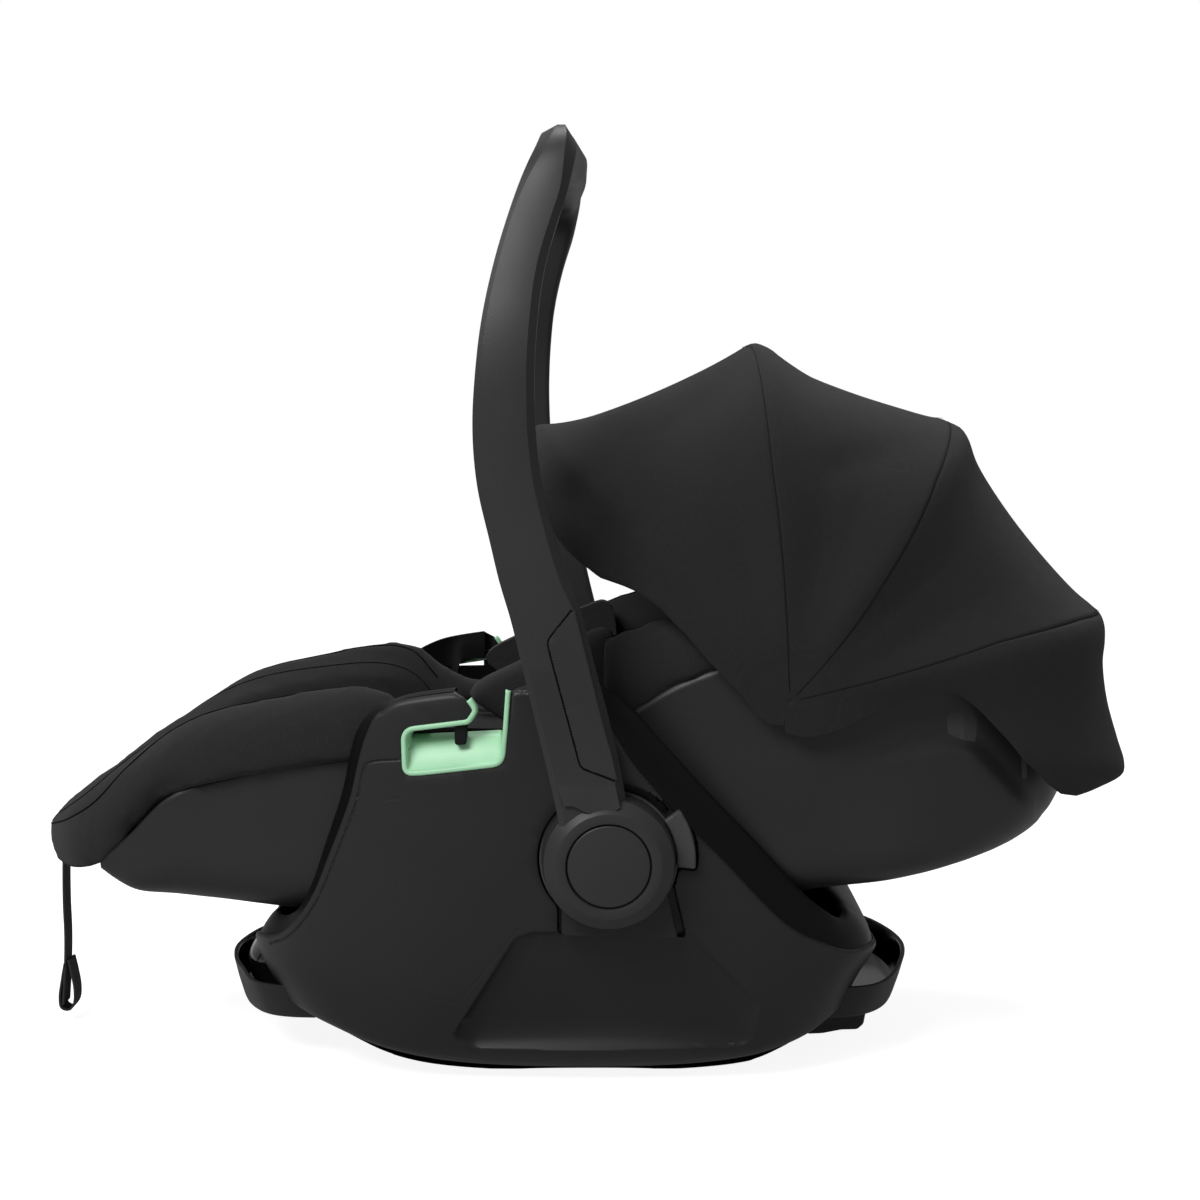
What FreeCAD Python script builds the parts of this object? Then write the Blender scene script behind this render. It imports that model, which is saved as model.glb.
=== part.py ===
"""Infant car seat: a rocking base with side belt guides, a carry handle on two hubs, a fixed seat pan,
a reclining backrest, a sliding headrest, a folding canopy on three bows and a five-point harness.

Millimetres. +X runs from the leg end to the head end, +Y to the far side, +Z up.
The saved origin lies on the floor, under the middle of the whole seat. It is symmetrical about Y = 0.
"""
import FreeCAD, Part
import math
import os

V = FreeCAD.Vector
os.makedirs("parts", exist_ok=True)

# ---------------------------------------------------------------- driving dimensions
MIDDLE_X = -4.3                         # X of the middle of the whole seat in the outlines below
PIVOT_X, PIVOT_Z = 13.7, 154.8          # handle hub axis
HUB_FACE = 219.5                        # half of the overall width
ARM_IN, ARM_OUT = 199.5, 215.0          # inner and outer face of a handle arm
HANDLE_TOP = 616.0
HUB_R, BUTTON_R, AXLE_R = 42.0, 26.0, 8.0
HUB_RECESS_R = 46.5
HUB_SEAT_Y = 187.0                      # floor of the hub recess in the base wall
LEVER_IN, LEVER_OUT = 187.4, 189.6      # faces of the release lever's ring, behind the hub
RUN_GAP = 0.05                          # radial clearance of a running fit
WALL, SKIN = 14.0, 3.0                  # double wall of the base, and its outer cover
HINGE_X, HINGE_Z = -30.0, 135.0         # recline hinge
RECLINE_PIN_R = 6.0
CANOPY_X, CANOPY_Z = 129.0, 252.0       # canopy hub
CANOPY_HALF = 173.0                     # half width of the canopy cloth at its hub
BOW_ANGLES = (93.3, 55.9, 10.8)         # front, middle and rear bow, from +X
BOW_REACH = (228.0, 212.0, 229.0)
VISOR_ANGLE, VISOR_REACH = 150.0, 285.0 # the visor is lofted this far and then cut to its front edge
SKIRT_ANGLE, SKIRT_REACH = -18.0, 257.0
CLOTH = 2.0                             # thickness of the canopy cloth and its lining
BOW_OUT, BOW_IN, BOW_HALF_WIDTH = 4.6, 7.6, 2.4
ARCH_STEPS, ARCH_POWER = 22, 0.62       # how the canopy arches are faceted, and how square they are
SEAT_SLOPE = 1.0 / 6.0                  # backrest surface, rise per mm of X

BASE_PLAN = [(-241, 25), (-233, 52), (-228, 76), (-220, 106), (-207, 138), (-188, 159), (-161, 173.5),
             (-130, 184), (-80, 192), (0, 196), (70, 192), (115, 184), (148, 171), (170, 154), (184, 133),
             (193, 106), (201, 72), (207, 36)]
BASE_FLARE = [(-8, 0.63), (0, 0.70), (12, 0.80), (40, 0.885), (90, 0.95), (150, 0.985), (290, 1.0)]
BASE_BOTTOM = [(165, 29, 40), (139, 18, 120), (100, 6.5, 200), (45, 0, 200), (-45, 0, 200),
               (-95, 5, 200), (-140, 15, 120), (-185, 32, 30)]
BASE_FRONT = [(-228, 26, 14), (-241, 46, 8), (-238, 60, 10), (-228, 82, 8), (-205, 103, 10)]
BASE_RIM_FRONT = [(-188, 122, 40), (-166, 178, 120), (-148, 232, 22), (-132, 251, 12), (-98, 259, 40),
                  (-76, 261, 7), (-60, 262, 0)]
BASE_RIM_REAR = [(-46, 262, 7), (-3, 259, 18), (118, 125, 90), (148, 96, 25), (166, 91, 12), (187, 101, 5)]
BASE_REAR = [(208, 72, 10), (206, 54, 8), (194, 34, 8)]
SLOT = [(-116, 208, 12), (-50, 216.5, 12), (-50, 285, 0), (-66, 285, 0), (-66, 247, 4), (-72, 242.5, 2),
        (-116, 237, 9)]
PANEL = [(-140, 213, 8), (-120, 217, 2), (-119, 203, 4), (-45, 212, 4), (-45, 250, 5), (-8, 250, 14),
         (112, 119, 90), (147, 86, 25), (180, 88, 6), (201, 62, 8), (196, 44, 8), (160, 37, 40),
         (113, 17, 120), (60, 6, 120), (-60, 6, 120), (-110, 15, 120), (-182, 41, 30), (-228, 40, 6),
         (-226, 62, 8), (-205, 95, 10), (-187, 108, 20), (-158, 160, 100)]
FACET = [(-87, 34, 4), (-46, 102, 8), (-35, 107, 4), (64, 107, 4), (112, 52, 4), (108, 26, 4), (-78, 26, 4)]
ADAPTER_PLATE = [(-16, 160, 0), (-16, 105.5, 1.5), (60.5, 103.5, 1.5), (46, 160, 0)]
ADAPTER_ROOM = [(-12, 160, 0), (-12, 95, 0), (57, 95, 0), (42, 160, 0)]

VISOR_EDGE = [(-60, 440, 0), (-38, 427, 0), (-34, 397, 40), (-21, 356, 30), (-4, 338, 12), (24, 324, 20),
              (64, 293, 60), (125, 232, 4), (150, 232, 0), (150, 200, 0), (-60, 200, 0)]
SKIRT_EDGE = [(112, 241, 0), (128, 231, 6), (150, 231, 20), (205, 253, 30), (238, 256, 20), (301, 193, 40),
              (330, 169, 20), (360, 176, 10), (374, 190, 0), (390, 150, 0), (112, 150, 0)]

HANDLE_SIDE = [(-27, 616, 10), (-2, 616, 10), (3, 604, 6), (-20, 555, 60), (-32, 464, 120), (-31, 420, 120),
               (-22, 367, 60), (-10, 328, 10), (-4, 317, 4), (-1, 303, 10), (25, 190, 20), (30, 165, 5),
               (13, 150, 5), (-14, 165, 5), (-28, 231, 60), (-60, 358, 120), (-70, 425, 120),
               (-61, 509, 160), (-36, 594, 60)]
ARM_PANEL = [(-9, 312, 3), (-24, 295, 6), (-15.6, 253, 20), (-5, 218, 8), (12.5, 209, 3), (30, 203, 0),
             (30, 260, 0), (5, 318, 0)]

WING = [(-76, 250, 6), (-46, 270, 30), (-6, 287, 8), (4, 240, 0), (-8, 170, 0), (-16, 170, 4)]
TUB_WALL = 3.5
# x, half width, bottom, top of the outer shells
PAN_SHELL = [(-322, 112, 129, 138), (-304, 120, 116, 153), (-280, 126, 112, 180), (-242, 132, 109, 196),
             (-208, 136, 107, 203), (-158, 142, 102, 212), (-100, 146, 98, 218), (-48, 146, 96, 222)]
BACK_SHELL = [(-20, 140, 113, 216), (27, 147, 108, 241), (60, 152, 108, 261), (100, 156, 112, 276),
              (150, 158, 122, 286), (200, 156, 128, 282), (245, 148, 138, 264), (290, 128, 153, 236),
              (322, 96, 176, 214)]
# x, half width, underside, flange, top of the side roll, seat surface
PAN_COVER = [(-382, 62, 139, 140, 150, 149), (-372, 92, 133, 134, 159, 152), (-350, 108, 128, 129, 176, 156),
             (-324, 116, 137, 139, 196, 160), (-280, 130, 134, 182, 228, 162), (-237, 137, 130, 199, 245, 160),
             (-199, 142, 126, 206, 253, 157), (-160, 146, 122, 214, 261, 153), (-136, 147, 120, 217, 257, 150),
             (-118, 147, 118, 219, 238, 147), (-52, 147, 116, 224, 232, 143)]
BACK_COVER = [(-18, 143, 133, 219, 292, 146), (20, 149, 128, 240, 300, 146), (60, 154, 127, 264, 311, 146),
              (100, 158, 131, 279, 317, 152.7), (150, 158.4, 141, 289, 316, 161), (200, 158, 147, 285, 308, 169.3),
              (245, 150, 157, 267, 292, 176.8), (285, 131, 170, 241, 262, 183.5)]


# ---------------------------------------------------------------- helpers
def side(y):
    """Places outline points in a plane parallel to XZ."""
    return lambda a, b: V(a, y, b)


def front(x):
    """Places outline points in a plane parallel to YZ."""
    return lambda a, b: V(x, a, b)


def plan(z):
    """Places outline points in a plane parallel to XY."""
    return lambda a, b: V(a, b, z)


def outline(points, place):
    """Closed wire through (a, b, radius) points, with each corner rounded by a tangent arc."""
    count = len(points)
    corners = []
    for i, (a, b, radius) in enumerate(points):
        here = V(a, b, 0)
        back = V(points[i - 1][0], points[i - 1][1], 0) - here
        ahead = V(points[(i + 1) % count][0], points[(i + 1) % count][1], 0) - here
        half = back.getAngle(ahead) / 2
        reach = 0.0
        if radius > 0 and half < math.pi / 2 - 0.002:
            reach = min(radius / math.tan(half), 0.49 * back.Length, 0.49 * ahead.Length)
        if reach < 0.05:
            corners.append((here, here, here))
            continue
        back.normalize()
        ahead.normalize()
        middle = back + ahead
        middle.normalize()
        to_arc = reach / math.cos(half) - reach * math.tan(half)
        corners.append((here + back * reach, here + middle * to_arc, here + ahead * reach))
    edges = []
    for i, (start, mid, end) in enumerate(corners):
        following = corners[(i + 1) % count][0]
        if (end - start).Length > 1e-6:
            edges.append(Part.Arc(place(start.x, start.y), place(mid.x, mid.y), place(end.x, end.y)).toShape())
        if (following - end).Length > 1e-6:
            edges.append(Part.LineSegment(place(end.x, end.y), place(following.x, following.y)).toShape())
    return Part.Wire(edges)


def prism_y(points, y0, y1):
    return Part.Face(outline(points, side(y0))).extrude(V(0, y1 - y0, 0))


def prism_x(points, x0, x1):
    return Part.Face(outline(points, front(x0))).extrude(V(x1 - x0, 0, 0))


def prism_z(points, z0, z1):
    return Part.Face(outline(points, plan(z0))).extrude(V(0, 0, z1 - z0))


def box(x0, x1, y0, y1, z0, z1):
    return Part.makeBox(x1 - x0, y1 - y0, z1 - z0, V(x0, y0, z0))


def rod_y(radius, x, z, y0, y1):
    return Part.makeCylinder(radius, y1 - y0, V(x, y0, z), V(0, 1, 0))


def mirrored(shape):
    return shape.mirror(V(0, 0, 0), V(0, 1, 0))


def polygon_loft(sections):
    """Solid through closed polygons with the same number of corners."""
    wires = [Part.makePolygon([*section, section[0]]) for section in sections]
    return Part.makeLoft(wires, True, True)


def arc_block(r0, r1, a0, a1, y0, y1):
    """Sector of a ring about the handle pivot, angles in degrees from +X."""
    ring = rod_y(r1, PIVOT_X, PIVOT_Z, y0, y1).cut(rod_y(r0, PIVOT_X, PIVOT_Z, y0 - 1, y1 + 1))
    far = 3 * r1
    a0, a1 = math.radians(a0), math.radians(a1)
    mid = (a0 + a1) / 2
    wedge = [(PIVOT_X, PIVOT_Z, 0)]
    wedge += [(PIVOT_X + far * math.cos(a), PIVOT_Z + far * math.sin(a), 0) for a in (a0, mid, a1)]
    return ring.common(prism_y(wedge, y0 - 1, y1 + 1))


def save(name, shape):
    solids = shape.Solids
    kept = Part.makeCompound(solids) if len(solids) > 1 else solids[0].copy()
    if not kept.isValid():
        kept.fix(0.01, 0.01, 0.01)
    kept.translate(V(-MIDDLE_X, 0, 0))
    kept.exportStep("parts/" + name + ".step")
    print(f"{name}: {len(solids)} solid(s), {kept.Volume / 1000:.1f} cm3, valid {kept.isValid()}")


def save_pair(name, shape):
    """Writes the near (-Y) piece as left and its mirror image as right."""
    save(name + "_left", shape)
    save(name + "_right", mirrored(shape))


# ---------------------------------------------------------------- base
def base_body(inset):
    """The rounded tub form of the base, drawn in by inset all round."""
    shrink = 1 - inset / 235.0
    wires = []
    for x, width in BASE_PLAN:
        w = max(width - inset, 12.0)
        right = Part.BSplineCurve()
        right.interpolate([V(x * shrink, w * share, z) for z, share in BASE_FLARE])
        left = Part.BSplineCurve()
        left.interpolate([V(x * shrink, -w * share, z) for z, share in reversed(BASE_FLARE)])
        top, low = BASE_FLARE[-1], BASE_FLARE[0]
        across = Part.LineSegment(V(x * shrink, w * top[1], top[0]), V(x * shrink, -w * top[1], top[0]))
        under = Part.LineSegment(V(x * shrink, -w * low[1], low[0]), V(x * shrink, w * low[1], low[0]))
        wires.append(Part.Wire([right.toShape(), across.toShape(), left.toShape(), under.toShape()]))
    return Part.makeLoft(wires, True, False)


def base_parts():
    profile = [*BASE_RIM_FRONT, *BASE_RIM_REAR, *BASE_REAR, *BASE_BOTTOM, *BASE_FRONT]
    outer = base_body(0).common(prism_y(profile, -230, 230))
    cavity = base_body(WALL).common(prism_y(
        [(-232, 62, 0), (-170, 40, 0), (-120, 19, 0), (-60, 5, 0), (60, 5, 0), (120, 16, 0), (165, 38, 0),
         (205, 62, 0), (205, 330, 0), (-232, 330, 0)], -230, 230))
    shell = outer.cut(cavity)

    facet_side = [(-164.6, 25, 0), (-181.4, 109, 0), (-240, 109, 0), (-240, 25, 0)]
    facet = prism_y(FACET, -240, -150).common(prism_x(facet_side, -100, 130))
    slot = prism_y(SLOT, -240, -150)
    boss = rod_y(62, PIVOT_X, PIVOT_Z, -240, -150)
    facet_frame = prism_y([(-92, 20, 0), (-50, 112, 0), (-16, 160, 0), (60, 160, 0), (70, 112, 0),
                           (118, 52, 0), (114, 20, 0)], -240, -150)
    panel = prism_y(PANEL, -240, -150)
    cover = outer.common(panel).cut(base_body(SKIN))
    pocket = outer.common(panel).cut(base_body(WALL - 4)).cut(boss).cut(facet_frame)
    hub_hole = rod_y(HUB_RECESS_R, PIVOT_X, PIVOT_Z, -240, -HUB_SEAT_Y)
    lever_hole = arc_block(40, 59, -13, 50, -240, -184)
    plate_hole = prism_y(ADAPTER_PLATE, -240, -182)
    axle_hole = rod_y(AXLE_R, PIVOT_X, PIVOT_Z, -240, -150)
    cuts = [facet, slot, hub_hole, lever_hole, plate_hole, axle_hole]
    for cutter in cuts:
        cover = cover.cut(cutter)
    panel_seat = outer.common(panel).cut(base_body(SKIN)).common(boss.fuse(facet_frame))
    for cutter in [*cuts, pocket.fuse(panel_seat)]:
        shell = shell.cut(cutter).cut(mirrored(cutter))
    pan = tub(stretched(PAN_SHELL, 30), -0.5, -0.5, 60)
    shell = shell.fuse(seat_supports().common(outer)).cut(pan).removeSplitter()
    save("base_shell", shell)
    save_pair("side_cover", cover)

    inner_slot = Part.Face(outline(SLOT, side(-240)).makeOffset2D(-2.2, 2)).extrude(V(0, 90, 0))
    slope = prism_x([(-200, 150, 0), (-200, 208, 0), (-192, 213, 0), (-172, 238, 0), (-172, 150, 0)], -130, -40)
    liner = outer.common(slot).cut(inner_slot.cut(slope)).cut(base_body(WALL + 6))
    liner = liner.cut(box(-140, -20, -240, -100, 262, 300))
    liner = liner.cut(box(-84.5, -74.5, -240, -176, 212, 236).common(slope))
    save_pair("belt_guide", max(liner.Solids, key=lambda s: s.Volume))
    keeper = prism_y([(-83.5, 248, 1), (-75.5, 249, 1), (-75.5, 214, 0), (-83.5, 214, 0)], -180, -176.3)
    keeper = max(keeper.cut(shell).cut(liner).Solids, key=lambda part: part.Volume)
    save_pair("belt_keeper", keeper)

    rail = [(-190, 118, 10), (-184, 148, 30), (-160, 205, 60), (-140, 246, 20), (-120, 266, 12), (-30, 274, 20),
            (8, 266, 18), (128, 140, 60), (150, 118, 10), (128, 100, 10), (60, 100, 0), (-120, 100, 0)]
    ring = base_body(WALL).cut(base_body(WALL + 3.5)).common(prism_y(rail, -230, 0))
    clear_of_pan = tub(stretched(PAN_SHELL, 30), -3, -3, 70)
    for cutter in (shell, slot, keeper, liner, clear_of_pan, rod_y(13.3, PIVOT_X, PIVOT_Z, -240, -150)):
        ring = ring.cut(cutter)
    save_pair("cradle_rail", max(ring.Solids, key=lambda part: part.Volume))

    return outer


def seat_supports():
    """Ribs that carry the seat pan and brackets that carry the recline pins, inside the base."""
    room = base_body(WALL).common(box(-220, 60, -190, 190, 4, 175))
    pan = tub(stretched(PAN_SHELL, 30), -0.3, -0.3, 60)
    ribs = box(-184, -178, -190, 190, 4, 165).fuse(box(-84, -78, -190, 190, 4, 165))
    ribs = ribs.common(room).cut(pan)
    bracket = box(-46, -14, -190, -150.5, 112, 158).common(room)
    bracket = bracket.cut(rod_y(RECLINE_PIN_R, HINGE_X, HINGE_Z, -160, -140))
    return ribs.fuse(bracket).fuse(mirrored(bracket))


def bumper(outer):
    """The two flat bands that loop round the ends of the base, drawn in towards their lower edge."""
    for sign, tip, low, high, dx, dy, where in ((-1, 253.5, 28, 54, 7, 16, "front"), (1, 226, 31, 56, 4, 8, "rear")):
        def loop(share, gap):
            t, k = tip - dx * share - gap, 1 - (dy * share + gap) / 119
            near = [(sign * 140, -119 * k, 0), (sign * (t - 44), -119 * k, 18), (sign * (t - 26), -105 * k, 25),
                    (sign * (t - 9), -56 * k, 40), (sign * t, -10 * k, 30)]
            return outline(near + [(x, -y, r) for x, y, r in near[::-1]], plan(high - (high - low) * share))
        band = Part.makeLoft([loop(1, 0), loop(0, 0)], True, True)
        hollow = Part.makeLoft([loop(1.15, 3.4), loop(-0.15, 3.4)], True, True)
        loop_band = max(band.cut(hollow).cut(outer).Solids, key=lambda s: s.Volume)
        save(where + "_bumper", loop_band)
    return loop_band


def rear_foot(outer, band):
    """The catch block at the rear end, inside the bumper and below it."""
    block = prism_y([(150, 9, 2), (161, 9.5, 1), (174, 12, 1), (185, 12.3, 2), (189, 16, 2), (192, 32, 1),
                     (150, 32, 1)], -76, 76)
    save("rear_catch_block", max(block.cut(outer).cut(band).Solids, key=lambda s: s.Volume))


def side_hardware():
    """Handle axle, stroller release lever and adapter cover of one side."""
    flange = rod_y(13, PIVOT_X, PIVOT_Z, -177, -172)
    save_pair("handle_axle", rod_y(AXLE_R, PIVOT_X, PIVOT_Z, -205, -172).fuse(flange))
    lever = rod_y(HUB_RECESS_R - 0.3, PIVOT_X, PIVOT_Z, -LEVER_OUT, -LEVER_IN)
    lever = lever.fuse(arc_block(40, 56.3, -4, 39.6, -LEVER_OUT, -LEVER_IN))
    lever = lever.fuse(arc_block(44.8, 56.3, -4, 39.6, -198.6, -LEVER_IN))
    save_pair("release_lever", lever.cut(rod_y(AXLE_R + RUN_GAP, PIVOT_X, PIVOT_Z, -210, -150)).removeSplitter())
    plate = prism_y(ADAPTER_PLATE, -197.5, -182).cut(prism_y(ADAPTER_ROOM, -193.5, -170))
    plate = plate.cut(rod_y(HUB_RECESS_R, PIVOT_X, PIVOT_Z, -240, -150))
    keep = max(plate.cut(arc_block(40, 59, -13, 50, -240, -184)).Solids, key=lambda s: s.Volume)
    save_pair("adapter_cover", keep)


# ---------------------------------------------------------------- handle
def handle_parts():
    arms = prism_y(HANDLE_SIDE, -ARM_OUT, ARM_OUT)
    arch_out = [(-ARM_OUT, 130, 0), (-ARM_OUT, 470, 260), (-182, HANDLE_TOP, 36), (182, HANDLE_TOP, 36),
                (ARM_OUT, 470, 260), (ARM_OUT, 130, 0)]
    arch_in = [(-ARM_IN, 100, 0), (-ARM_IN, 462, 240), (-163, HANDLE_TOP - 30, 28),
               (163, HANDLE_TOP - 30, 28), (ARM_IN, 462, 240), (ARM_IN, 100, 0)]
    frame = arms.common(prism_x(arch_out, -120, 60)).cut(prism_x(arch_in, -130, 70))
    hub = rod_y(HUB_R + 2, PIVOT_X, PIVOT_Z, -ARM_IN - 8, -HUB_SEAT_Y - 3.6)
    face = Part.makeCone(HUB_R + 2, HUB_R - 5, 12.0, V(PIVOT_X, -ARM_IN - 8, PIVOT_Z), V(0, -1, 0))
    hub = hub.fuse(face)
    bore = rod_y(AXLE_R + RUN_GAP, PIVOT_X, PIVOT_Z, -206, -150)
    well = rod_y(BUTTON_R + 0.4, PIVOT_X, PIVOT_Z, -230, -208)
    panel = prism_y(ARM_PANEL, -230, -211)
    ends = hub.fuse(mirrored(hub))
    frame = frame.fuse(ends)
    for cutter in (bore, well, panel):
        frame = frame.cut(cutter).cut(mirrored(cutter))
    save("handle_frame", frame.removeSplitter())
    arm_plate = arms.common(prism_y(ARM_PANEL, -ARM_OUT, -211))
    save_pair("arm_cover", arm_plate)
    cap = rod_y(BUTTON_R, PIVOT_X, PIVOT_Z, -HUB_FACE, -212.5)
    save_pair("handle_button", cap)
    coil = Part.makeHelix(1.6, 3.2, 6.0)
    profile = Part.Wire([Part.makeCircle(0.5, V(6.0, 0, 0), V(0, 1, 0))])
    spring = Part.Wire(coil.Edges).makePipeShell([profile], True, True)
    spring.rotate(V(0, 0, 0), V(1, 0, 0), 90)
    spring.translate(V(PIVOT_X, -208.6, PIVOT_Z))
    save_pair("button_spring", spring)


# ---------------------------------------------------------------- shells, liners and covers
def tub_section(x, half, low, high, corner, top):
    """Eight-cornered tub outline with chamfered lower corners, its walls carried on top above the rim."""
    c = corner
    flare = 2.0 * top / (high - low - c)
    right = [(0.55 * half, low), (half - c * 0.45, low + c * 0.28), (half - 2, low + c), (half + flare, high + top)]
    return [V(x, a, b) for a, b in right] + [V(x, -a, b) for a, b in reversed(right)]


def tub(stations, inset, lift, top):
    """Solid through the stations, drawn in sideways by inset, raised by lift and ending top above the rim."""
    sections = []
    for x, half, low, high in stations:
        corner = min(0.45 * (high - low), 42)
        sections.append(tub_section(x, half - inset, low + lift, high + lift, corner, top - lift))
    return polygon_loft(sections)


def stretched(stations, by):
    """The stations carried on past both ends along X, for a cutter that must pass through."""
    first, last = stations[0], stations[-1]
    return [(first[0] - by, *first[1:]), *stations, (last[0] + by, *last[1:])]


def cover_section(x, half, under, flange, top, seat):
    """Padded U outline: it lines the tub, folds over the rim and rises to a rounded side roll."""
    inner = half - 16
    bevel = min(20.0, 0.6 * (flange - under))
    roll = min(top - flange, 14) * 0.8
    channel = max(half - 46, 14)
    right = [(inner - 1.4 * bevel, under), (inner, under + bevel), (inner, flange), (half, flange),
             (half, top - roll), (half - 8, top), (half - 20, top), (half - 26, seat + 0.45 * (top - seat)),
             (channel, seat)]
    return [V(x, a, b) for a, b in right] + [V(x, -a, b) for a, b in reversed(right)]


def cover(stations):
    return polygon_loft([cover_section(*station) for station in stations])


def seat_pan():
    """The fixed leg half of the seat: rigid tub, foam liner and padded cover."""
    shell = tub(PAN_SHELL, 0, 0, 0).cut(tub(stretched(PAN_SHELL, 30), TUB_WALL, TUB_WALL, 60))
    soft = cover(PAN_COVER).cut(shell)
    inner = PAN_SHELL[1:]
    foam = tub(inner, 4.6, 4.6, -2).cut(tub(stretched(inner, 30), 15.0, 18.0, 60)).cut(soft)
    save("seat_pan_shell", shell)
    save("seat_pan_foam", max(foam.Solids, key=lambda part: part.Volume))
    save("seat_cover", max(soft.Solids, key=lambda part: part.Volume))


def backrest():
    """The reclining half of the seat, with an ear each side that turns on a hinge pin."""
    ahead = prism_y([(-34, HINGE_Z, 0), (-26, HINGE_Z, 0), (39, 335, 0), (-120, 335, 0), (-120, HINGE_Z, 0)],
                    -200, 200)
    roll_ends = ahead.cut(box(-200, 200, -121, 121, 0, 400))
    closed_end = [*BACK_SHELL[:-1], (BACK_SHELL[-1][0] - TUB_WALL, *BACK_SHELL[-1][1:])]
    closed_end.insert(0, (closed_end[0][0] - 30, *closed_end[0][1:]))
    ear = rod_y(13, HINGE_X, HINGE_Z, -147, -140.5).fuse(box(HINGE_X, 4, -147, -120, 126, 146))
    tub_body = tub(BACK_SHELL, 0, 0, 0).cut(ahead).fuse(ear).fuse(mirrored(ear))
    shell = tub_body.cut(tub(closed_end, TUB_WALL, TUB_WALL, 60))
    bore = rod_y(RECLINE_PIN_R + RUN_GAP, HINGE_X, HINGE_Z, -160, 160)
    shell = max(shell.cut(bore).removeSplitter().Solids, key=lambda part: part.Volume)
    soft = cover(BACK_COVER).cut(roll_ends)
    wing = prism_y(WING, -119, -98)
    soft = soft.fuse(wing).fuse(mirrored(wing)).cut(shell)
    inner = BACK_SHELL[1:-1]
    foam = tub(inner, 4.6, 4.6, -2).cut(tub(stretched(inner, 30), 15.0, 18.0, 60)).cut(soft).cut(ahead)
    save("backrest_shell", shell)
    save("backrest_foam", max(foam.Solids, key=lambda part: part.Volume))
    save("backrest_cover", max(soft.Solids, key=lambda part: part.Volume))
    pin = rod_y(RECLINE_PIN_R, HINGE_X, HINGE_Z, -160, -140.5)
    save_pair("recline_pin", pin)


def seat_surface(x):
    """Height of the backrest cushion along its middle."""
    return 146.0 + max(0.0, (x - 60.0) * SEAT_SLOPE)


def headrest():
    """U-shaped head support that slides along the backrest; a rigid plate inside a pad."""
    pad_half = [(90, 0), (96, 30), (96, 86), (78, 96), (70, 40), (52, 24)]
    plate_half = [(87, 6), (92, 30), (92, 70), (88, 70), (85, 30), (80, 10)]

    def section(x, half):
        z = seat_surface(x) + 2.5
        return [V(x, a, z + b) for a, b in half] + [V(x, -a, z + b) for a, b in reversed(half)]
    pad = polygon_loft([section(x, pad_half) for x in (125, 160, 200, 238)])
    plate = polygon_loft([section(x, plate_half) for x in (132, 230)])
    save("headrest_plate", plate)
    save("headrest_pad", pad.cut(plate))


def strip_along(points, half, thick, y):
    """Flat webbing through (x, z) points, half wide each side of y."""
    up = [(x, z + thick) for x, z in points]
    ring = [(x, z, 0) for x, z in points] + [(x, z, 0) for x, z in reversed(up)]
    return prism_y(ring, y - half, y + half)


def harness():
    """Five-point harness: crotch strap and buckle, lap belts, tongues, shoulder belts and pads."""
    base_z = 148.0
    belt_line = [(-14, base_z), (60, base_z), (118, seat_surface(118) + 2)]
    pad_line = [(-6, base_z + 2.4), (60, base_z + 2.4), (104, seat_surface(104) + 4.4)]
    for y, where in ((-42, "left"), (42, "right")):
        save("shoulder_belt_" + where, strip_along(belt_line, 19, 1.6, y))
        save("shoulder_pad_" + where, strip_along(pad_line, 27, 9, y))
    save_pair("buckle_tongue", strip_along([(-32, 151), (-57, 168)], 10, 1.6, -12))
    save_pair("lap_belt", prism_z([(-36, -27, 3), (-54, -27, 3), (-74, -98, 3), (-56, -98, 3)], 152, 153.8))
    save("crotch_belt", strip_along([(-104, 150.5), (-90, 158), (-86, 160)], 19, 2, 0))
    buckle = prism_y([(-94, 161.5, 4), (-62, 168, 4), (-60, 186, 6), (-92, 182, 6)], -23, 23)
    well = prism_y([(-86, 176.6, 0), (-68, 178.8, 0), (-68, 200, 0), (-86, 200, 0)], -11, 11)
    save("buckle", buckle.cut(well).cut(strip_along([(-104, 150.5), (-90, 158), (-86, 160)], 19, 2, 0)))
    save("buckle_button", prism_y([(-85.7, 180.1, 0), (-68.3, 182.3, 0), (-68.3, 187.2, 0), (-85.7, 185.2, 0)],
                                  -10.7, 10.7))
    save("crotch_pad", strip_along([(-132, 157), (-106, 154.5)], 26, 7, 0))
    save("adjuster_housing", box(-262, -236, -14, 14, 162.5, 168).cut(box(-256.3, -241.7, -8.3, 8.3, 165, 170)))
    save("adjuster_button", box(-256, -242, -8, 8, 167.5, 171))


# ---------------------------------------------------------------- canopy
def arch(angle, reach, inset, foot):
    """Points of a canopy arch in the plane at that angle from +X, from one hub to the other."""
    c, s = math.cos(math.radians(angle)), math.sin(math.radians(angle))
    half, rise = CANOPY_HALF - inset, reach - inset - foot
    points = []
    for i in range(ARCH_STEPS + 1):
        turn = math.pi * i / ARCH_STEPS
        across = half * math.copysign(abs(math.cos(turn)) ** ARCH_POWER, math.cos(turn))
        out = foot + rise * math.sin(turn) ** ARCH_POWER
        points.append(V(CANOPY_X + c * out, across, CANOPY_Z + s * out))
    return points


def cloth(first, second, foot):
    """Closed thin shell of cloth between two arches, each given as (angle, reach)."""
    sections = []
    for angle, reach in (first, second):
        sections.append(arch(angle, reach, 0, foot) + arch(angle, reach, CLOTH, foot)[::-1])
    return polygon_loft(sections)


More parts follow.
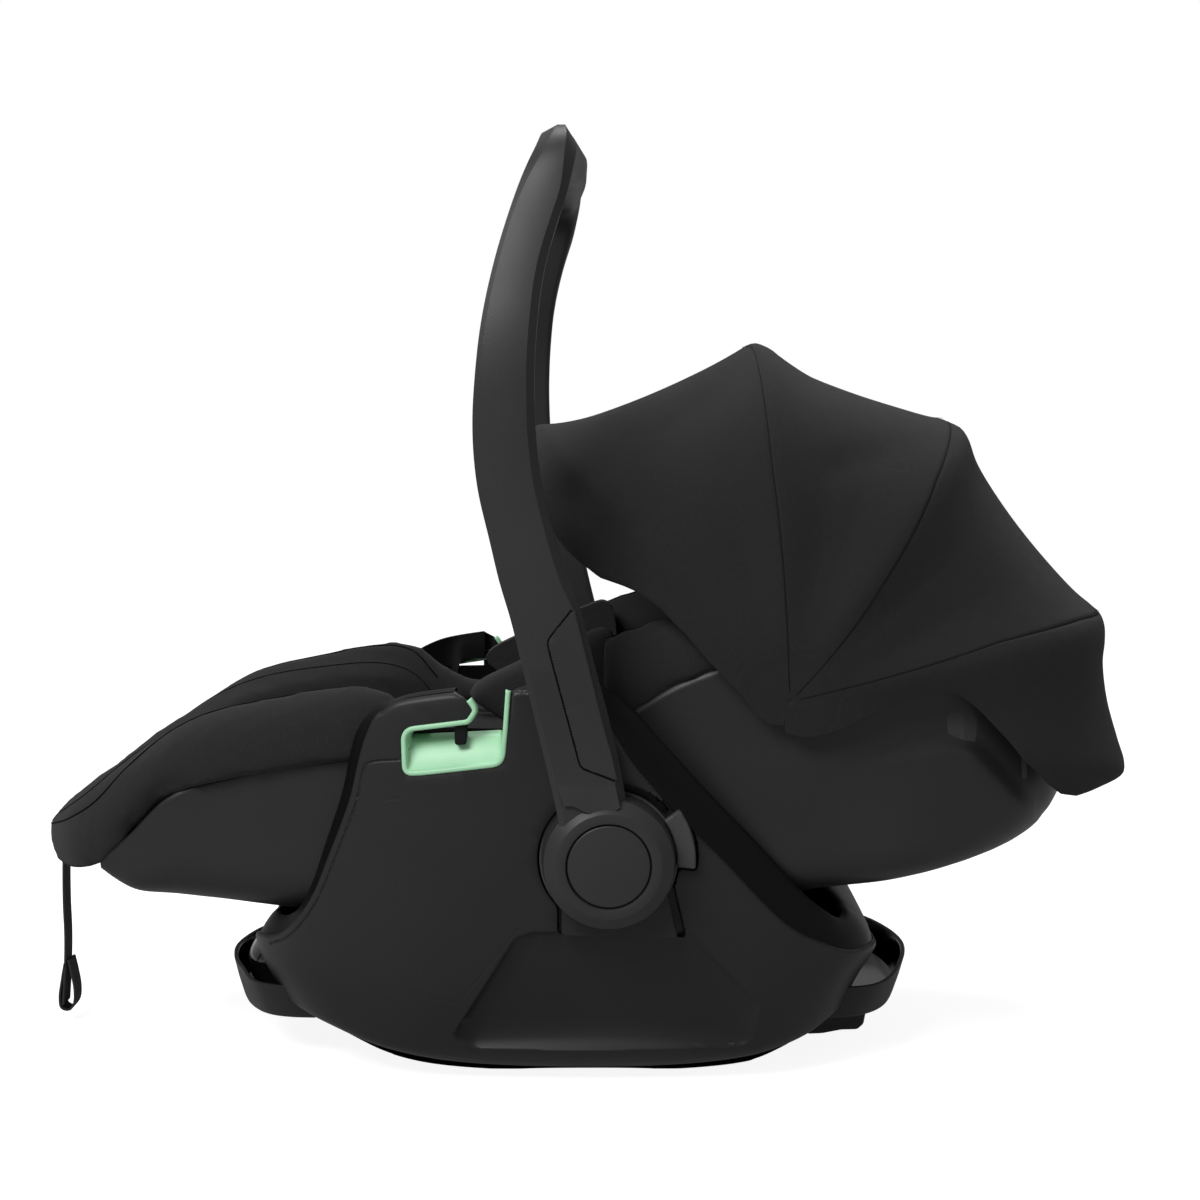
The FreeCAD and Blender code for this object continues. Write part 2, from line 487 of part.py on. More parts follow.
def bow(angle, reach, index):
    """Flat spring-steel bow under the cloth, with a hinge eye at each end, stacked outwards by index."""
    outer = arch(angle, reach, BOW_OUT, 26)
    inner = arch(angle, reach, BOW_IN, 26)
    c, s = math.cos(math.radians(angle)), math.sin(math.radians(angle))
    across = V(-s, 0, c) * BOW_HALF_WIDTH
    ring = [*outer, *inner[::-1]]
    face = Part.Face(Part.makePolygon([*[p - across for p in ring], ring[0] - across]))
    strip = face.extrude(across * 2)
    y = CANOPY_HALF - BOW_IN - 2.2 * index
    eye = rod_y(9, CANOPY_X, CANOPY_Z, -y, -y + 1.9).cut(rod_y(3.05, CANOPY_X, CANOPY_Z, -200, -100))
    width = BOW_HALF_WIDTH
    link = box(0, 34, -y, -y + 1.9, -width, width).cut(rod_y(8.5, 0, 0, -200, -100))
    link.rotate(V(0, 0, 0), V(0, 1, 0), -angle)
    link.translate(V(CANOPY_X, 0, CANOPY_Z))
    joggle = box(24, 34, -CANOPY_HALF + BOW_OUT, -y + 1.9, -width, width)
    joggle.rotate(V(0, 0, 0), V(0, 1, 0), -angle)
    joggle.translate(V(CANOPY_X, 0, CANOPY_Z))
    end = eye.fuse(link).fuse(joggle)
    return strip.fuse(end).fuse(mirrored(end)).removeSplitter()


def canopy():
    front, middle, rear = zip(BOW_ANGLES, BOW_REACH)
    visor = cloth((front[0] + 1.2, front[1]), (VISOR_ANGLE, VISOR_REACH), 14)
    save("canopy_visor", max(visor.cut(prism_y(VISOR_EDGE, -200, 200)).Solids, key=lambda part: part.Volume))
    save("canopy_front_panel", cloth((front[0] + 0.8, front[1]), (middle[0] + 0.4, middle[1]), 14))
    save("canopy_rear_panel", cloth((middle[0] - 0.4, middle[1]), (rear[0] + 0.8, rear[1]), 14))
    skirt = cloth((rear[0] + 0.4, rear[1]), (SKIRT_ANGLE, SKIRT_REACH), 14)
    save("canopy_skirt", max(skirt.cut(prism_y(SKIRT_EDGE, -200, 200)).Solids, key=lambda part: part.Volume))
    for (angle, reach), index, name in ((front, 2, "front"), (middle, 1, "middle"), (rear, 0, "rear")):
        save("canopy_bow_" + name, bow(angle, reach, index))
    save_pair("canopy_pin", rod_y(3, CANOPY_X, CANOPY_Z, -167.5, -157.4))


# ---------------------------------------------------------------- adjuster strap
def adjuster_strap():
    """Webbing that tightens the harness: it leaves the leg end of the cover and hangs nearly to the floor."""
    tube = [(-373.0, 132.0), (-375.5, 92.0), (-373.5, 50.0), (-374.0, 12.0)]
    edge = [(x, z, 18) for x, z in tube] + [(x + 1.6, z, 18) for x, z in reversed(tube)]
    save("adjuster_strap", prism_y(edge, -10, 10))


base_form = base_parts()
rear_foot(base_form, bumper(base_form))
side_hardware()
handle_parts()
seat_pan()
backrest()
headrest()
harness()
canopy()
adjuster_strap()
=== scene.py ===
"""Looks of the infant car seat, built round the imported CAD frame.

Lengths in the tables are millimetres in the drawing frame of the CAD source: +X to the head end, -Y to the near
side, +Z up, floor at Z = 0. metres() moves them to the row frame. The seat is symmetrical about Y = 0.
"""

import math

import bmesh
import bpy
import numpy as np
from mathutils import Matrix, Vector, geometry
from mathutils.bvhtree import BVHTree


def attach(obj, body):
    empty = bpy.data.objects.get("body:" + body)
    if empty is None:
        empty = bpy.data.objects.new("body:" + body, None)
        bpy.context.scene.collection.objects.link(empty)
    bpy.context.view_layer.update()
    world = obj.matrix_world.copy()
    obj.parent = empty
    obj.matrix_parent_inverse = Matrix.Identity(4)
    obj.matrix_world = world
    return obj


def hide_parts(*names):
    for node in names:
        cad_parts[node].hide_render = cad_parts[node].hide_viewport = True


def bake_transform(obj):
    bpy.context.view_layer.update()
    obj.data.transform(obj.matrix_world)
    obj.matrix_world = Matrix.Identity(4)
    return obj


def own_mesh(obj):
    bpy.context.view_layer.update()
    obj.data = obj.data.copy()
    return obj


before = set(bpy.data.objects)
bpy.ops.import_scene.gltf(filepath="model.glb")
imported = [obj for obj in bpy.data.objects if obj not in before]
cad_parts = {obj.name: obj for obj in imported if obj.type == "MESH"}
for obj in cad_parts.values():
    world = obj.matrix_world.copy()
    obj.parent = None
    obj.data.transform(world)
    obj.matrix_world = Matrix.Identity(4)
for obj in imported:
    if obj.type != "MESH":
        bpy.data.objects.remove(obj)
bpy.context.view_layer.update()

MIDDLE_X = -4.3                        # drawing X of the row frame's origin
SIDES = (("left", True), ("right", False))
HUB = np.array([13.7, 154.8])
CANOPY_HUB = np.array([129.0, 252.0])


# ---------------------------------------------------------------- camera and light
def camera():
    """Long lens a little above the middle, aimed five degrees down."""
    data = bpy.data.cameras.new("camera")
    data.lens, data.sensor_width = 69.0, 36.0
    data.clip_start, data.clip_end = 0.05, 30.0
    cam = bpy.data.objects.new("camera", data)
    cam.location = ((8.2 - MIDDLE_X) / 1000, -1.624, 0.444)
    cam.rotation_euler = (math.radians(85.0), 0.0, 0.0)
    bpy.context.collection.objects.link(cam)
    bpy.context.scene.camera = cam


def area_light(name, at, aim, size, power):
    data = bpy.data.lights.new(name, "AREA")
    data.shape, data.size, data.size_y, data.energy = "RECTANGLE", size[0], size[1], power
    lamp = bpy.data.objects.new(name, data)
    lamp.location = at
    lamp.rotation_euler = (Vector(aim) - Vector(at)).to_track_quat("-Z", "Y").to_euler()
    bpy.context.collection.objects.link(lamp)


def studio():
    """White surroundings that light softly, one key light and a pale floor."""
    bpy.context.scene.view_settings.view_transform = "Standard"
    world = bpy.data.worlds.new("studio")
    bpy.context.scene.world = world
    world.use_nodes = True
    tree = world.node_tree
    dim, bright = tree.nodes["Background"], tree.nodes.new("ShaderNodeBackground")
    dim.inputs["Color"].default_value, dim.inputs["Strength"].default_value = (1.0, 1.0, 1.0, 1), 0.26
    bright.inputs["Color"].default_value, bright.inputs["Strength"].default_value = (1.0, 1.0, 1.0, 1), 1.0
    seen, pick = tree.nodes.new("ShaderNodeLightPath"), tree.nodes.new("ShaderNodeMixShader")
    tree.links.new(seen.outputs["Is Camera Ray"], pick.inputs["Fac"])
    tree.links.new(dim.outputs["Background"], pick.inputs[1])
    tree.links.new(bright.outputs["Background"], pick.inputs[2])
    tree.links.new(pick.outputs["Shader"], tree.nodes["World Output"].inputs["Surface"])
    area_light("key", (-1.3, -1.9, 2.2), (0.0, 0.0, 0.25), (1.5, 1.1), 84)
    area_light("fill", (2.1, -1.5, 1.2), (0.05, 0.0, 0.25), (0.9, 1.6), 2.5)
    area_light("top", (0.15, 0.6, 2.3), (0.05, 0.0, 0.3), (1.6, 1.0), 31)
    bm = bmesh.new()
    for x, y in ((-6, -4), (6, -4), (6, 6), (-6, 6)):
        bm.verts.new((x, y, -0.0006))
    bm.faces.new(bm.verts)
    data = bpy.data.meshes.new("floor")
    bm.to_mesh(data)
    bm.free()
    floor = bpy.data.objects.new("floor", data)
    bpy.context.collection.objects.link(floor)
    mat = bpy.data.materials.new("floor")
    mat.use_nodes = True
    shader = mat.node_tree.nodes["Principled BSDF"]
    shader.inputs["Base Color"].default_value = (0.35, 0.35, 0.35, 1)
    shader.inputs["Emission Color"].default_value = (1.0, 1.0, 1.0, 1)
    seen = mat.node_tree.nodes.new("ShaderNodeLightPath")
    glow = mat.node_tree.nodes.new("ShaderNodeMath")
    glow.operation = "MULTIPLY_ADD"
    glow.inputs[1].default_value, glow.inputs[2].default_value = 0.76, 0.14
    mat.node_tree.links.new(seen.outputs["Is Camera Ray"], glow.inputs[0])
    mat.node_tree.links.new(glow.outputs[0], shader.inputs["Emission Strength"])
    shader.inputs["Roughness"].default_value = 0.9
    data.materials.append(mat)


# ---------------------------------------------------------------- materials
class Nodes:
    """Small helper for building one material's node tree."""

    def __init__(self, name, roughness, specular=0.5, sheen=0.0, coat=0.0):
        self.mat = bpy.data.materials.new(name)
        self.mat.use_nodes = True
        self.tree = self.mat.node_tree
        self.shader = self.tree.nodes["Principled BSDF"]
        self.shader.inputs["Roughness"].default_value = roughness
        self.shader.inputs["Specular IOR Level"].default_value = specular
        self.shader.inputs["Sheen Weight"].default_value = sheen
        self.shader.inputs["Sheen Roughness"].default_value = 0.5
        self.shader.inputs["Coat Weight"].default_value = coat
        self.shader.inputs["Coat Roughness"].default_value = 0.12
        self.place = self.tree.nodes.new("ShaderNodeTexCoord").outputs["Object"]

    def node(self, kind, **values):
        made = self.tree.nodes.new(kind)
        for key, value in values.items():
            setattr(made, key, value)
        return made

    def link(self, out, into):
        self.tree.links.new(out, into)

    def noise(self, scale, detail=2.0, stretch=(1, 1, 1)):
        mapping = self.node("ShaderNodeMapping")
        mapping.inputs["Scale"].default_value = stretch
        self.link(self.place, mapping.inputs["Vector"])
        made = self.node("ShaderNodeTexNoise")
        made.inputs["Scale"].default_value = scale
        made.inputs["Detail"].default_value = detail
        self.link(mapping.outputs["Vector"], made.inputs["Vector"])
        return made.outputs["Fac"]

    def wave(self, scale, axis, distortion=0.0):
        made = self.node("ShaderNodeTexWave", wave_type="BANDS", bands_direction=axis)
        made.inputs["Scale"].default_value = scale
        made.inputs["Distortion"].default_value = distortion
        self.link(self.place, made.inputs["Vector"])
        return made.outputs["Fac"]

    def mix(self, a, b, how="MULTIPLY", factor=1.0):
        made = self.node("ShaderNodeMath", operation=how)
        self.link(a, made.inputs[0])
        if isinstance(b, (int, float)):
            made.inputs[1].default_value = b
        else:
            self.link(b, made.inputs[1])
        return made.outputs[0]

    def colour(self, factor, dark, light, low=0.35, high=0.65):
        ramp = self.node("ShaderNodeValToRGB")
        ramp.color_ramp.elements[0].position, ramp.color_ramp.elements[1].position = low, high
        ramp.color_ramp.elements[0].color = (*dark, 1)
        ramp.color_ramp.elements[1].color = (*light, 1)
        self.link(factor, ramp.inputs["Fac"])
        return ramp.outputs["Color"]

    def rough(self, factor, low, high):
        made = self.node("ShaderNodeMapRange")
        made.inputs["To Min"].default_value, made.inputs["To Max"].default_value = low, high
        self.link(factor, made.inputs["Value"])
        self.link(made.outputs["Result"], self.shader.inputs["Roughness"])

    def bump(self, height, distance, strength=1.0, below=None):
        made = self.node("ShaderNodeBump")
        made.inputs["Distance"].default_value = distance
        made.inputs["Strength"].default_value = strength
        self.link(height, made.inputs["Height"])
        if below is not None:
            self.link(below, made.inputs["Normal"])
        return made.outputs["Normal"]


def plastic(name, grey, roughness, grain=0.00010, tint=1.03, coat=0.0, specular=0.45, scale=1500):
    """Moulded plastic: fine spark-eroded grain, faint mottling and slightly uneven gloss."""
    n = Nodes(name, roughness, specular, coat=coat)
    dark = (grey * 0.90, grey * 0.90, grey * 0.90 * tint)
    light = (grey * 1.12, grey * 1.12, grey * 1.12 * tint)
    cloud = n.noise(9, 3)
    speck = n.noise(scale * 0.6, 2)
    n.link(n.colour(n.mix(n.mix(cloud, 0.75), n.mix(speck, 0.25), "ADD"), dark, light), n.shader.inputs["Base Color"])
    n.rough(n.noise(22, 4), roughness - 0.05, roughness + 0.07)
    n.link(n.bump(n.noise(scale, 3), grain, 0.6), n.shader.inputs["Normal"])
    return n.mat


def tinted_plastic(name, dark, light, roughness, grain=0.00008):
    """Coloured moulded plastic between two tones."""
    n = Nodes(name, roughness, 0.4)
    n.link(n.colour(n.noise(14, 3), dark, light, 0.3, 0.7), n.shader.inputs["Base Color"])
    n.rough(n.noise(26, 3), roughness - 0.05, roughness + 0.08)
    n.link(n.bump(n.noise(1500, 2), grain, 0.5), n.shader.inputs["Normal"])
    return n.mat


def fabric(name, grey, weave=950, depth=0.00022, sheen=0.25, melange=0.22, roughness=0.88):
    """Plain woven cloth: crossed threads, flecked yarn, soft large-scale shading and a little fuzz."""
    n = Nodes(name, roughness, 0.12, sheen=sheen)
    warp = n.wave(weave, "X", 0.6)
    weft = n.wave(weave, "Z", 0.6)
    depth_wise = n.wave(weave, "Y", 0.6)
    threads = n.mix(n.mix(warp, weft, "MULTIPLY"), n.mix(depth_wise, 0.5), "ADD")
    fleck = n.noise(1300, 2, (1, 1, 0.35))
    cloud = n.noise(7, 4)
    tone = n.mix(n.mix(n.mix(fleck, 0.45), n.mix(cloud, 0.35), "ADD"), n.mix(threads, 0.16), "ADD")
    dark = (grey * (1 - melange),) * 3
    light = (grey * (1 + melange), grey * (1 + melange), grey * (1 + melange) * 1.02)
    n.link(n.colour(tone, dark, light, 0.3, 0.72), n.shader.inputs["Base Color"])
    fine = n.bump(threads, depth, 0.7)
    n.link(n.bump(n.noise(60, 3), 0.0012, 0.35, fine), n.shader.inputs["Normal"])
    n.rough(n.noise(300, 2), roughness - 0.06, roughness + 0.08)
    return n.mat


def metal(name, grey, roughness):
    """Drawn steel with fine lines."""
    n = Nodes(name, roughness, 0.5)
    n.shader.inputs["Metallic"].default_value = 1.0
    n.link(n.colour(n.noise(60, 3, (1, 8, 1)), (grey * 0.85,) * 3, (grey * 1.1,) * 3), n.shader.inputs["Base Color"])
    n.rough(n.noise(400, 2, (1, 12, 1)), roughness - 0.06, roughness + 0.1)
    n.link(n.bump(n.noise(900, 2, (1, 14, 1)), 0.00006, 0.5), n.shader.inputs["Normal"])
    return n.mat


MATS = {
    "shell": plastic("shell", 0.0125, 0.44, specular=0.24),
    # near-black tub inside the base rim: dark plastic, made darker still as painted shade of the recess
    "inner": plastic("inner", 0.0022, 0.40, specular=0.12),
    "seat_shell": plastic("seat_shell", 0.0150, 0.40, specular=0.26),
    "handle": plastic("handle", 0.0215, 0.43, specular=0.24),
    "insert": plastic("insert", 0.0215, 0.42, specular=0.26),
    "lever": plastic("lever", 0.040, 0.44, specular=0.28),
    "gloss": plastic("gloss", 0.0040, 0.12, grain=0.00002, coat=0.25, specular=0.5),
    # near-black, for painted shade in grooves, gaps and along sewn seams
    "groove": plastic("groove", 0.0012, 0.7, specular=0.05),
    "guide": tinted_plastic("guide", (0.300, 0.560, 0.350), (0.340, 0.620, 0.395), 0.42),
    "seat_cloth": fabric("seat_cloth", 0.0195, weave=900, sheen=0.06),
    "canopy_cloth": fabric("canopy_cloth", 0.0162, weave=1050, sheen=0.06, depth=0.00016),
    "insert_cloth": fabric("insert_cloth", 0.022, weave=700, sheen=0.1, depth=0.0003),
    "webbing": fabric("webbing", 0.030, weave=420, sheen=0.05, depth=0.0004, melange=0.4),
    # darker than the canopy cloth: dark thread, plus painted shade along the sewn seams
    "thread": fabric("thread", 0.0065, weave=500, sheen=0.0),
    "foam": plastic("foam", 0.03, 0.85, grain=0.0008, scale=260),
    "steel": metal("steel", 0.55, 0.32),
    "red": tinted_plastic("red", (0.42, 0.012, 0.012), (0.52, 0.020, 0.018), 0.3),
    "rubber": plastic("rubber", 0.004, 0.62, specular=0.15),
}


# ---------------------------------------------------------------- mesh helpers
def metres(points):
    """Drawing millimetres as row-frame metres."""
    p = np.asarray(points, float).reshape(-1, 3)
    return np.column_stack([p[:, 0] - MIDDLE_X, p[:, 1], p[:, 2]]) / 1000.0


def add_mesh(name, verts, faces, mat, body, sharp=38.0, replaces=(), weld=0.00002):
    """One object from millimetre points in the drawing frame."""
    data = bpy.data.meshes.new(name)
    data.from_pydata([tuple(v) for v in metres(verts)], [], [tuple(int(i) for i in f) for f in faces])
    bm = bmesh.new()
    bm.from_mesh(data)
    if weld:
        bmesh.ops.remove_doubles(bm, verts=bm.verts, dist=weld)
    bmesh.ops.delete(bm, geom=[v for v in bm.verts if not v.link_faces], context="VERTS")
    bmesh.ops.recalc_face_normals(bm, faces=bm.faces)
    bm.to_mesh(data)
    bm.free()
    data.shade_smooth()
    if sharp:
        data.set_sharp_from_angle(angle=math.radians(sharp))
    data.materials.append(MATS[mat])
    made = bpy.data.objects.new(name, data)
    bpy.context.collection.objects.link(made)
    if body:
        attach(made, body)
    if replaces:
        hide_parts(*replaces)
    return made


def both_sides(verts, faces):
    """The mesh with its mirror image in Y."""
    v = np.asarray(verts, float)
    far = v * np.array([1, -1, 1])
    return np.vstack([v, far]), [*faces, *[tuple(i + len(v) for i in reversed(f)) for f in faces]]


def far_side(verts, faces):
    """The mesh mirrored in Y."""
    v = np.asarray(verts, float) * np.array([1, -1, 1])
    return v, [tuple(reversed(f)) for f in faces]


def grid_faces(rows, columns, wrap_rows=False, wrap_columns=False):
    """Quads of a grid of points, closed on itself where asked."""
    faces = []
    for i in range(rows if wrap_rows else rows - 1):
        for j in range(columns if wrap_columns else columns - 1):
            a, b = i * columns + j, i * columns + (j + 1) % columns
            k = ((i + 1) % rows) * columns
            faces.append((a, b, k + (j + 1) % columns, k + j))
    return faces


def capped(rows, columns, faces):
    """Adds both end faces to a tube of closed rings."""
    return [*faces, tuple(range(columns - 1, -1, -1)), tuple((rows - 1) * columns + j for j in range(columns))]


def sheet_mesh(rows):
    """Mesh of a grid of points."""
    return rows.reshape(-1, 3), grid_faces(*rows.shape[:2])


def tube_mesh(rows):
    """Mesh of a row of closed rings with both ends filled."""
    count, columns = rows.shape[:2]
    return rows.reshape(-1, 3), capped(count, columns, grid_faces(count, columns, wrap_columns=True))


def on_side(mesh, near):
    """The mesh as it is, or mirrored to the far side."""
    return mesh if near else far_side(*mesh)


def merged(*meshes):
    """Several (verts, faces) as one."""
    verts, faces, start = [], [], 0
    for v, f in meshes:
        v = np.asarray(v, float)
        verts.append(v)
        faces += [tuple(i + start for i in face) for face in f]
        start += len(v)
    return np.vstack(verts), faces


def smooth_curve(points, count, closed=False):
    """count points on a centripetal Catmull-Rom curve through the given ones, evenly spaced."""
    p = np.asarray(points, float)
    if closed:
        p = np.vstack([p[-1], p, p[0], p[1]])
    else:
        p = np.vstack([2 * p[0] - p[1], p, 2 * p[-1] - p[-2]])
    out = []
    for i in range(1, len(p) - 2):
        p0, p1, p2, p3 = p[i - 1:i + 3]
        t1 = max(np.linalg.norm(p1 - p0), 1e-6) ** 0.5
        t2 = t1 + max(np.linalg.norm(p2 - p1), 1e-6) ** 0.5
        t3 = t2 + max(np.linalg.norm(p3 - p2), 1e-6) ** 0.5
        t = np.linspace(t1, t2, 24, endpoint=False)[:, None]
        a1 = (t1 - t) / t1 * p0 + t / t1 * p1
        a2 = (t2 - t) / (t2 - t1) * p1 + (t - t1) / (t2 - t1) * p2
        a3 = (t3 - t) / (t3 - t2) * p2 + (t - t2) / (t3 - t2) * p3
        b1 = (t2 - t) / t2 * a1 + t / t2 * a2
        b2 = (t3 - t) / (t3 - t1) * a2 + (t - t1) / (t3 - t1) * a3
        out.append((t2 - t) / (t2 - t1) * b1 + (t - t1) / (t2 - t1) * b2)
    out.append(p[-2][None, :])
    return evenly(np.vstack(out), count)


def evenly(points, count):
    """count points evenly spaced along a polyline."""
    p = np.asarray(points, float)
    length = np.concatenate([[0], np.cumsum(np.linalg.norm(np.diff(p, axis=0), axis=1))])
    at = np.linspace(0, length[-1], count)
    return np.column_stack([np.interp(at, length, p[:, k]) for k in range(p.shape[1])])


def spaced(points, step, closed=False):
    """Points about step apart along a polyline."""
    p = np.asarray(points, float)
    if closed:
        p = np.vstack([p, p[:1]])
    length = np.linalg.norm(np.diff(p, axis=0), axis=1).sum()
    out = evenly(p, max(3, int(round(length / step)) + 1))
    return out[:-1] if closed else out


def rounded(points, closed=True, arc=8):
    """Polyline through (a, b, radius) corners with arcs at the corners."""
    pts = [np.array(p[:2], float) for p in points]
    radii = [p[2] if len(p) > 2 else 0.0 for p in points]
    out = []
    count = len(pts)
    for i in range(count):
        if not closed and i in (0, count - 1):
            out.append(pts[i])
            continue
        here, back, ahead = pts[i], pts[i - 1] - pts[i], pts[(i + 1) % count] - pts[i]
        lb, la = np.linalg.norm(back), np.linalg.norm(ahead)
        back, ahead = back / lb, ahead / la
        half = math.acos(max(-1.0, min(1.0, float(back @ ahead)))) / 2
        if radii[i] <= 0 or half > math.pi / 2 - 0.01:
            out.append(here)
            continue
        reach = min(radii[i] / math.tan(half), 0.49 * lb, 0.49 * la)
        for k in range(arc + 1):
            t = k / arc
            a, b, c = here + back * reach, here, here + ahead * reach
            out.append((1 - t) ** 2 * a + 2 * t * (1 - t) * b * 0.98 + t * t * c + 2 * t * (1 - t) * 0.02 * (a + c) / 2)
    return np.array(out)


def distance(points, line, closed=False):
    """Distance from each 2-D point to a polyline."""
    p, q = np.asarray(points, float), np.asarray(line, float)
    a = q
    b = np.roll(q, -1, axis=0)
    if not closed:
        a, b = a[:-1], b[:-1]
    best = np.full(len(p), 1e9)
    for start in range(0, len(a), 64):
        sa, sb = a[start:start + 64], b[start:start + 64]
        d = sb - sa
        length2 = np.maximum((d ** 2).sum(1), 1e-12)
        t = np.clip(((p[:, None, :] - sa[None]) * d[None]).sum(2) / length2[None], 0, 1)
        near = sa[None] + t[:, :, None] * d[None]
        best = np.minimum(best, np.sqrt(((p[:, None, :] - near) ** 2).sum(2)).min(1))
    return best


def inside(points, loop):
    """Even-odd test of 2-D points against a closed loop."""
    p, q = np.asarray(points, float), np.asarray(loop, float)
    x, y = p[:, 0], p[:, 1]
    result = np.zeros(len(p), bool)
    for (x1, y1), (x2, y2) in zip(q, np.roll(q, -1, axis=0)):
        if y1 == y2:
            continue
        crosses = (y1 > y) != (y2 > y)
        result ^= crosses & (x < (x2 - x1) * (y - y1) / (y2 - y1) + x1)
    return result


def signed(points, loop):
    """Distance to a closed loop, negative inside."""
    return np.where(inside(points, loop), -1.0, 1.0) * distance(points, loop, True)


def offset_points(line, by, closed):
    """The points moved by across their polyline."""
    p = np.asarray(line, float)
    if closed:
        t = np.roll(p, -1, axis=0) - np.roll(p, 1, axis=0)
    else:
        t = np.gradient(p, axis=0)
    t /= np.maximum(np.linalg.norm(t, axis=1, keepdims=True), 1e-9)
    return p + by * np.column_stack([t[:, 1], -t[:, 0]])


def triangulated(loop, step, edges):
    """Triangles inside a closed 2-D loop, with extra points along offset curves of edges.

    Each edge is (polyline, closed, offsets, spacing).
    """
    loop = np.asarray(loop, float)
    keep_out = []
    points = [loop]
    links = [(i, (i + 1) % len(loop)) for i in range(len(loop))]
    for line, closed, offsets, spacing in edges:
        line = spaced(line, spacing, closed)
        reach = max(abs(o) for o in offsets)
        for by in offsets:
            ring = offset_points(line, by, closed)
            good = distance(ring, line, closed) > abs(by) * 0.93
            ring = ring[good & inside(ring, loop) & (distance(ring, loop, True) > 0.12)]
            for other, other_closed, other_reach in keep_out:
                ring = ring[distance(ring, other, other_closed) > min(other_reach, 0.6)]
            points.append(ring)
        keep_out.append((line, closed, reach))
    low, high = loop.min(0), loop.max(0)
    gx, gy = np.meshgrid(np.arange(low[0], high[0], step), np.arange(low[1], high[1], step * 0.87))
    gx[1::2] += step / 2
    g = np.column_stack([gx.ravel(), gy.ravel()])
    g = g[inside(g, loop) & (distance(g, loop, True) > step * 0.35)]
    for line, closed, reach in keep_out:
        g = g[distance(g, line, closed) > reach + step * 0.3]
    points.append(g)
    p = np.vstack(points)
    out = geometry.delaunay_2d_cdt([Vector(q) for q in p], links, [], 0, 1e-5)
    verts = np.array([tuple(v) for v in out[0]])
    faces = np.array([f for f in out[2] if len(f) == 3])
    centres = verts[faces].mean(1)
    good = inside(centres, loop)
    return verts, [tuple(int(i) for i in f) for f in faces[good]]


def eased(value, low, high):
    """0 below low, 1 above high, smooth between."""
    t = np.clip((np.asarray(value, float) - low) / (high - low), 0, 1)
    return t * t * (3 - 2 * t)


def fillet(d, radius):
    """How far a rounded edge falls away at distance d from it."""
    t = np.clip(radius - np.asarray(d, float), 0, radius)
    return radius - np.sqrt(np.maximum(radius ** 2 - t ** 2, 0))


def slab(outline, y_out, y_in, radius, crown=0.0, step=8.0):
    """Rounded plate on a side-view outline, its face at y_out (near side) and its back at y_in."""
    loop = spaced(outline, 1.6 if radius < 3 else 2.5, True)
    rings = [-radius * k for k in (0.15, 0.45, 0.8, 1.15)]
    if signed(offset_points(loop, rings[0], True), loop).mean() > 0:
        rings = [-r for r in rings]
    verts, faces = triangulated(loop, step, [(loop, True, rings, 1.8 if radius < 3 else 3.0)])
    d = distance(verts, loop, True)
    y = y_out + fillet(d, radius) - crown * eased(d, 0, 20)
    front_face = np.column_stack([verts[:, 0], y, verts[:, 1]])
    rim = np.column_stack([loop[:, 0], np.full(len(loop), y_out + radius), loop[:, 1]])
    back = rim.copy()
    back[:, 1] = y_in
    n = len(loop)
    walls = [(i, (i + 1) % n, n + (i + 1) % n, n + i) for i in range(n)]
    return merged((front_face, faces), (np.vstack([rim, back]), walls + [tuple(range(n, 2 * n))]))


def ribbon(line, width, lift):
    """Narrow flat strip along a 3-D line; lift is the unit vector it faces."""
    p = np.asarray(line, float)
    t = np.gradient(p, axis=0)
    t /= np.maximum(np.linalg.norm(t, axis=1, keepdims=True), 1e-9)
    across = np.cross(t, lift)
    across /= np.maximum(np.linalg.norm(across, axis=1, keepdims=True), 1e-9)
    rows = np.stack([p - across * width / 2, p + across * width / 2], axis=1)
    return rows.reshape(-1, 3), grid_faces(len(p), 2)


def lathe(profile, centre, segments=96):
    """Turned solid about an axis along Y; profile is (radius, y) points."""
    p = np.asarray(profile, float)
    a = np.linspace(0, 2 * math.pi, segments, endpoint=False)
    verts = np.array([[centre[0] + r * math.cos(t), y, centre[1] + r * math.sin(t)] for r, y in p for t in a])
    return verts, grid_faces(len(p), segments, wrap_columns=True)


# ---------------------------------------------------------------- base form
PLAN = smooth_curve([(-226, 0), (-225.6, 40), (-223, 80), (-215, 114), (-202, 140), (-184, 160), (-160, 174),
                     (-125, 185), (-80, 192), (0, 196), (70, 192), (115, 184), (145, 172), (168, 155), (184, 128),
                     (193, 90), (196, 45), (197, 0)], 900)
PLAN_S = np.concatenate([[0], np.cumsum(np.linalg.norm(np.diff(PLAN, axis=0), axis=1))])
FLARE = smooth_curve([(0, 0.70), (12, 0.80), (40, 0.885), (90, 0.95), (150, 0.985), (220, 0.997), (300, 1.0)], 300)
FRONT_X = smooth_curve([(10, -190), (30, -205), (46, -215), (58, -222.5), (69, -228), (80, -231), (95, -232.3),
                        (120, -232.5), (300, -232.5)], 200)
REAR_X = smooth_curve([(10, 160), (29, 174.5), (40, 180.5), (52, 186), (64, 193), (74, 200), (84, 203.4), (100, 204),
                       (300, 204)], 200)


def stretched_x(x, z):
    """X of the plan curve at height z, where the end walls lean."""
    front = np.interp(z, FRONT_X[:, 0], FRONT_X[:, 1])
    rear = np.interp(z, REAR_X[:, 0], REAR_X[:, 1])
    x = np.where(x < -130, -130 + (x + 130) * (front + 130) / (-226 + 130), x)
    return np.where(x > 110, 110 + (x - 110) * (rear - 110) / (197 - 110), x)


def skin_raw(s, z):
    """Point of the near outer wall of the base at plan length s and height z."""
    x = np.interp(s, PLAN_S, PLAN[:, 0])
    w = np.interp(s, PLAN_S, PLAN[:, 1])
    g = np.interp(z, FLARE[:, 0], FLARE[:, 1])
    return np.column_stack([stretched_x(x, z), -w * g, z])


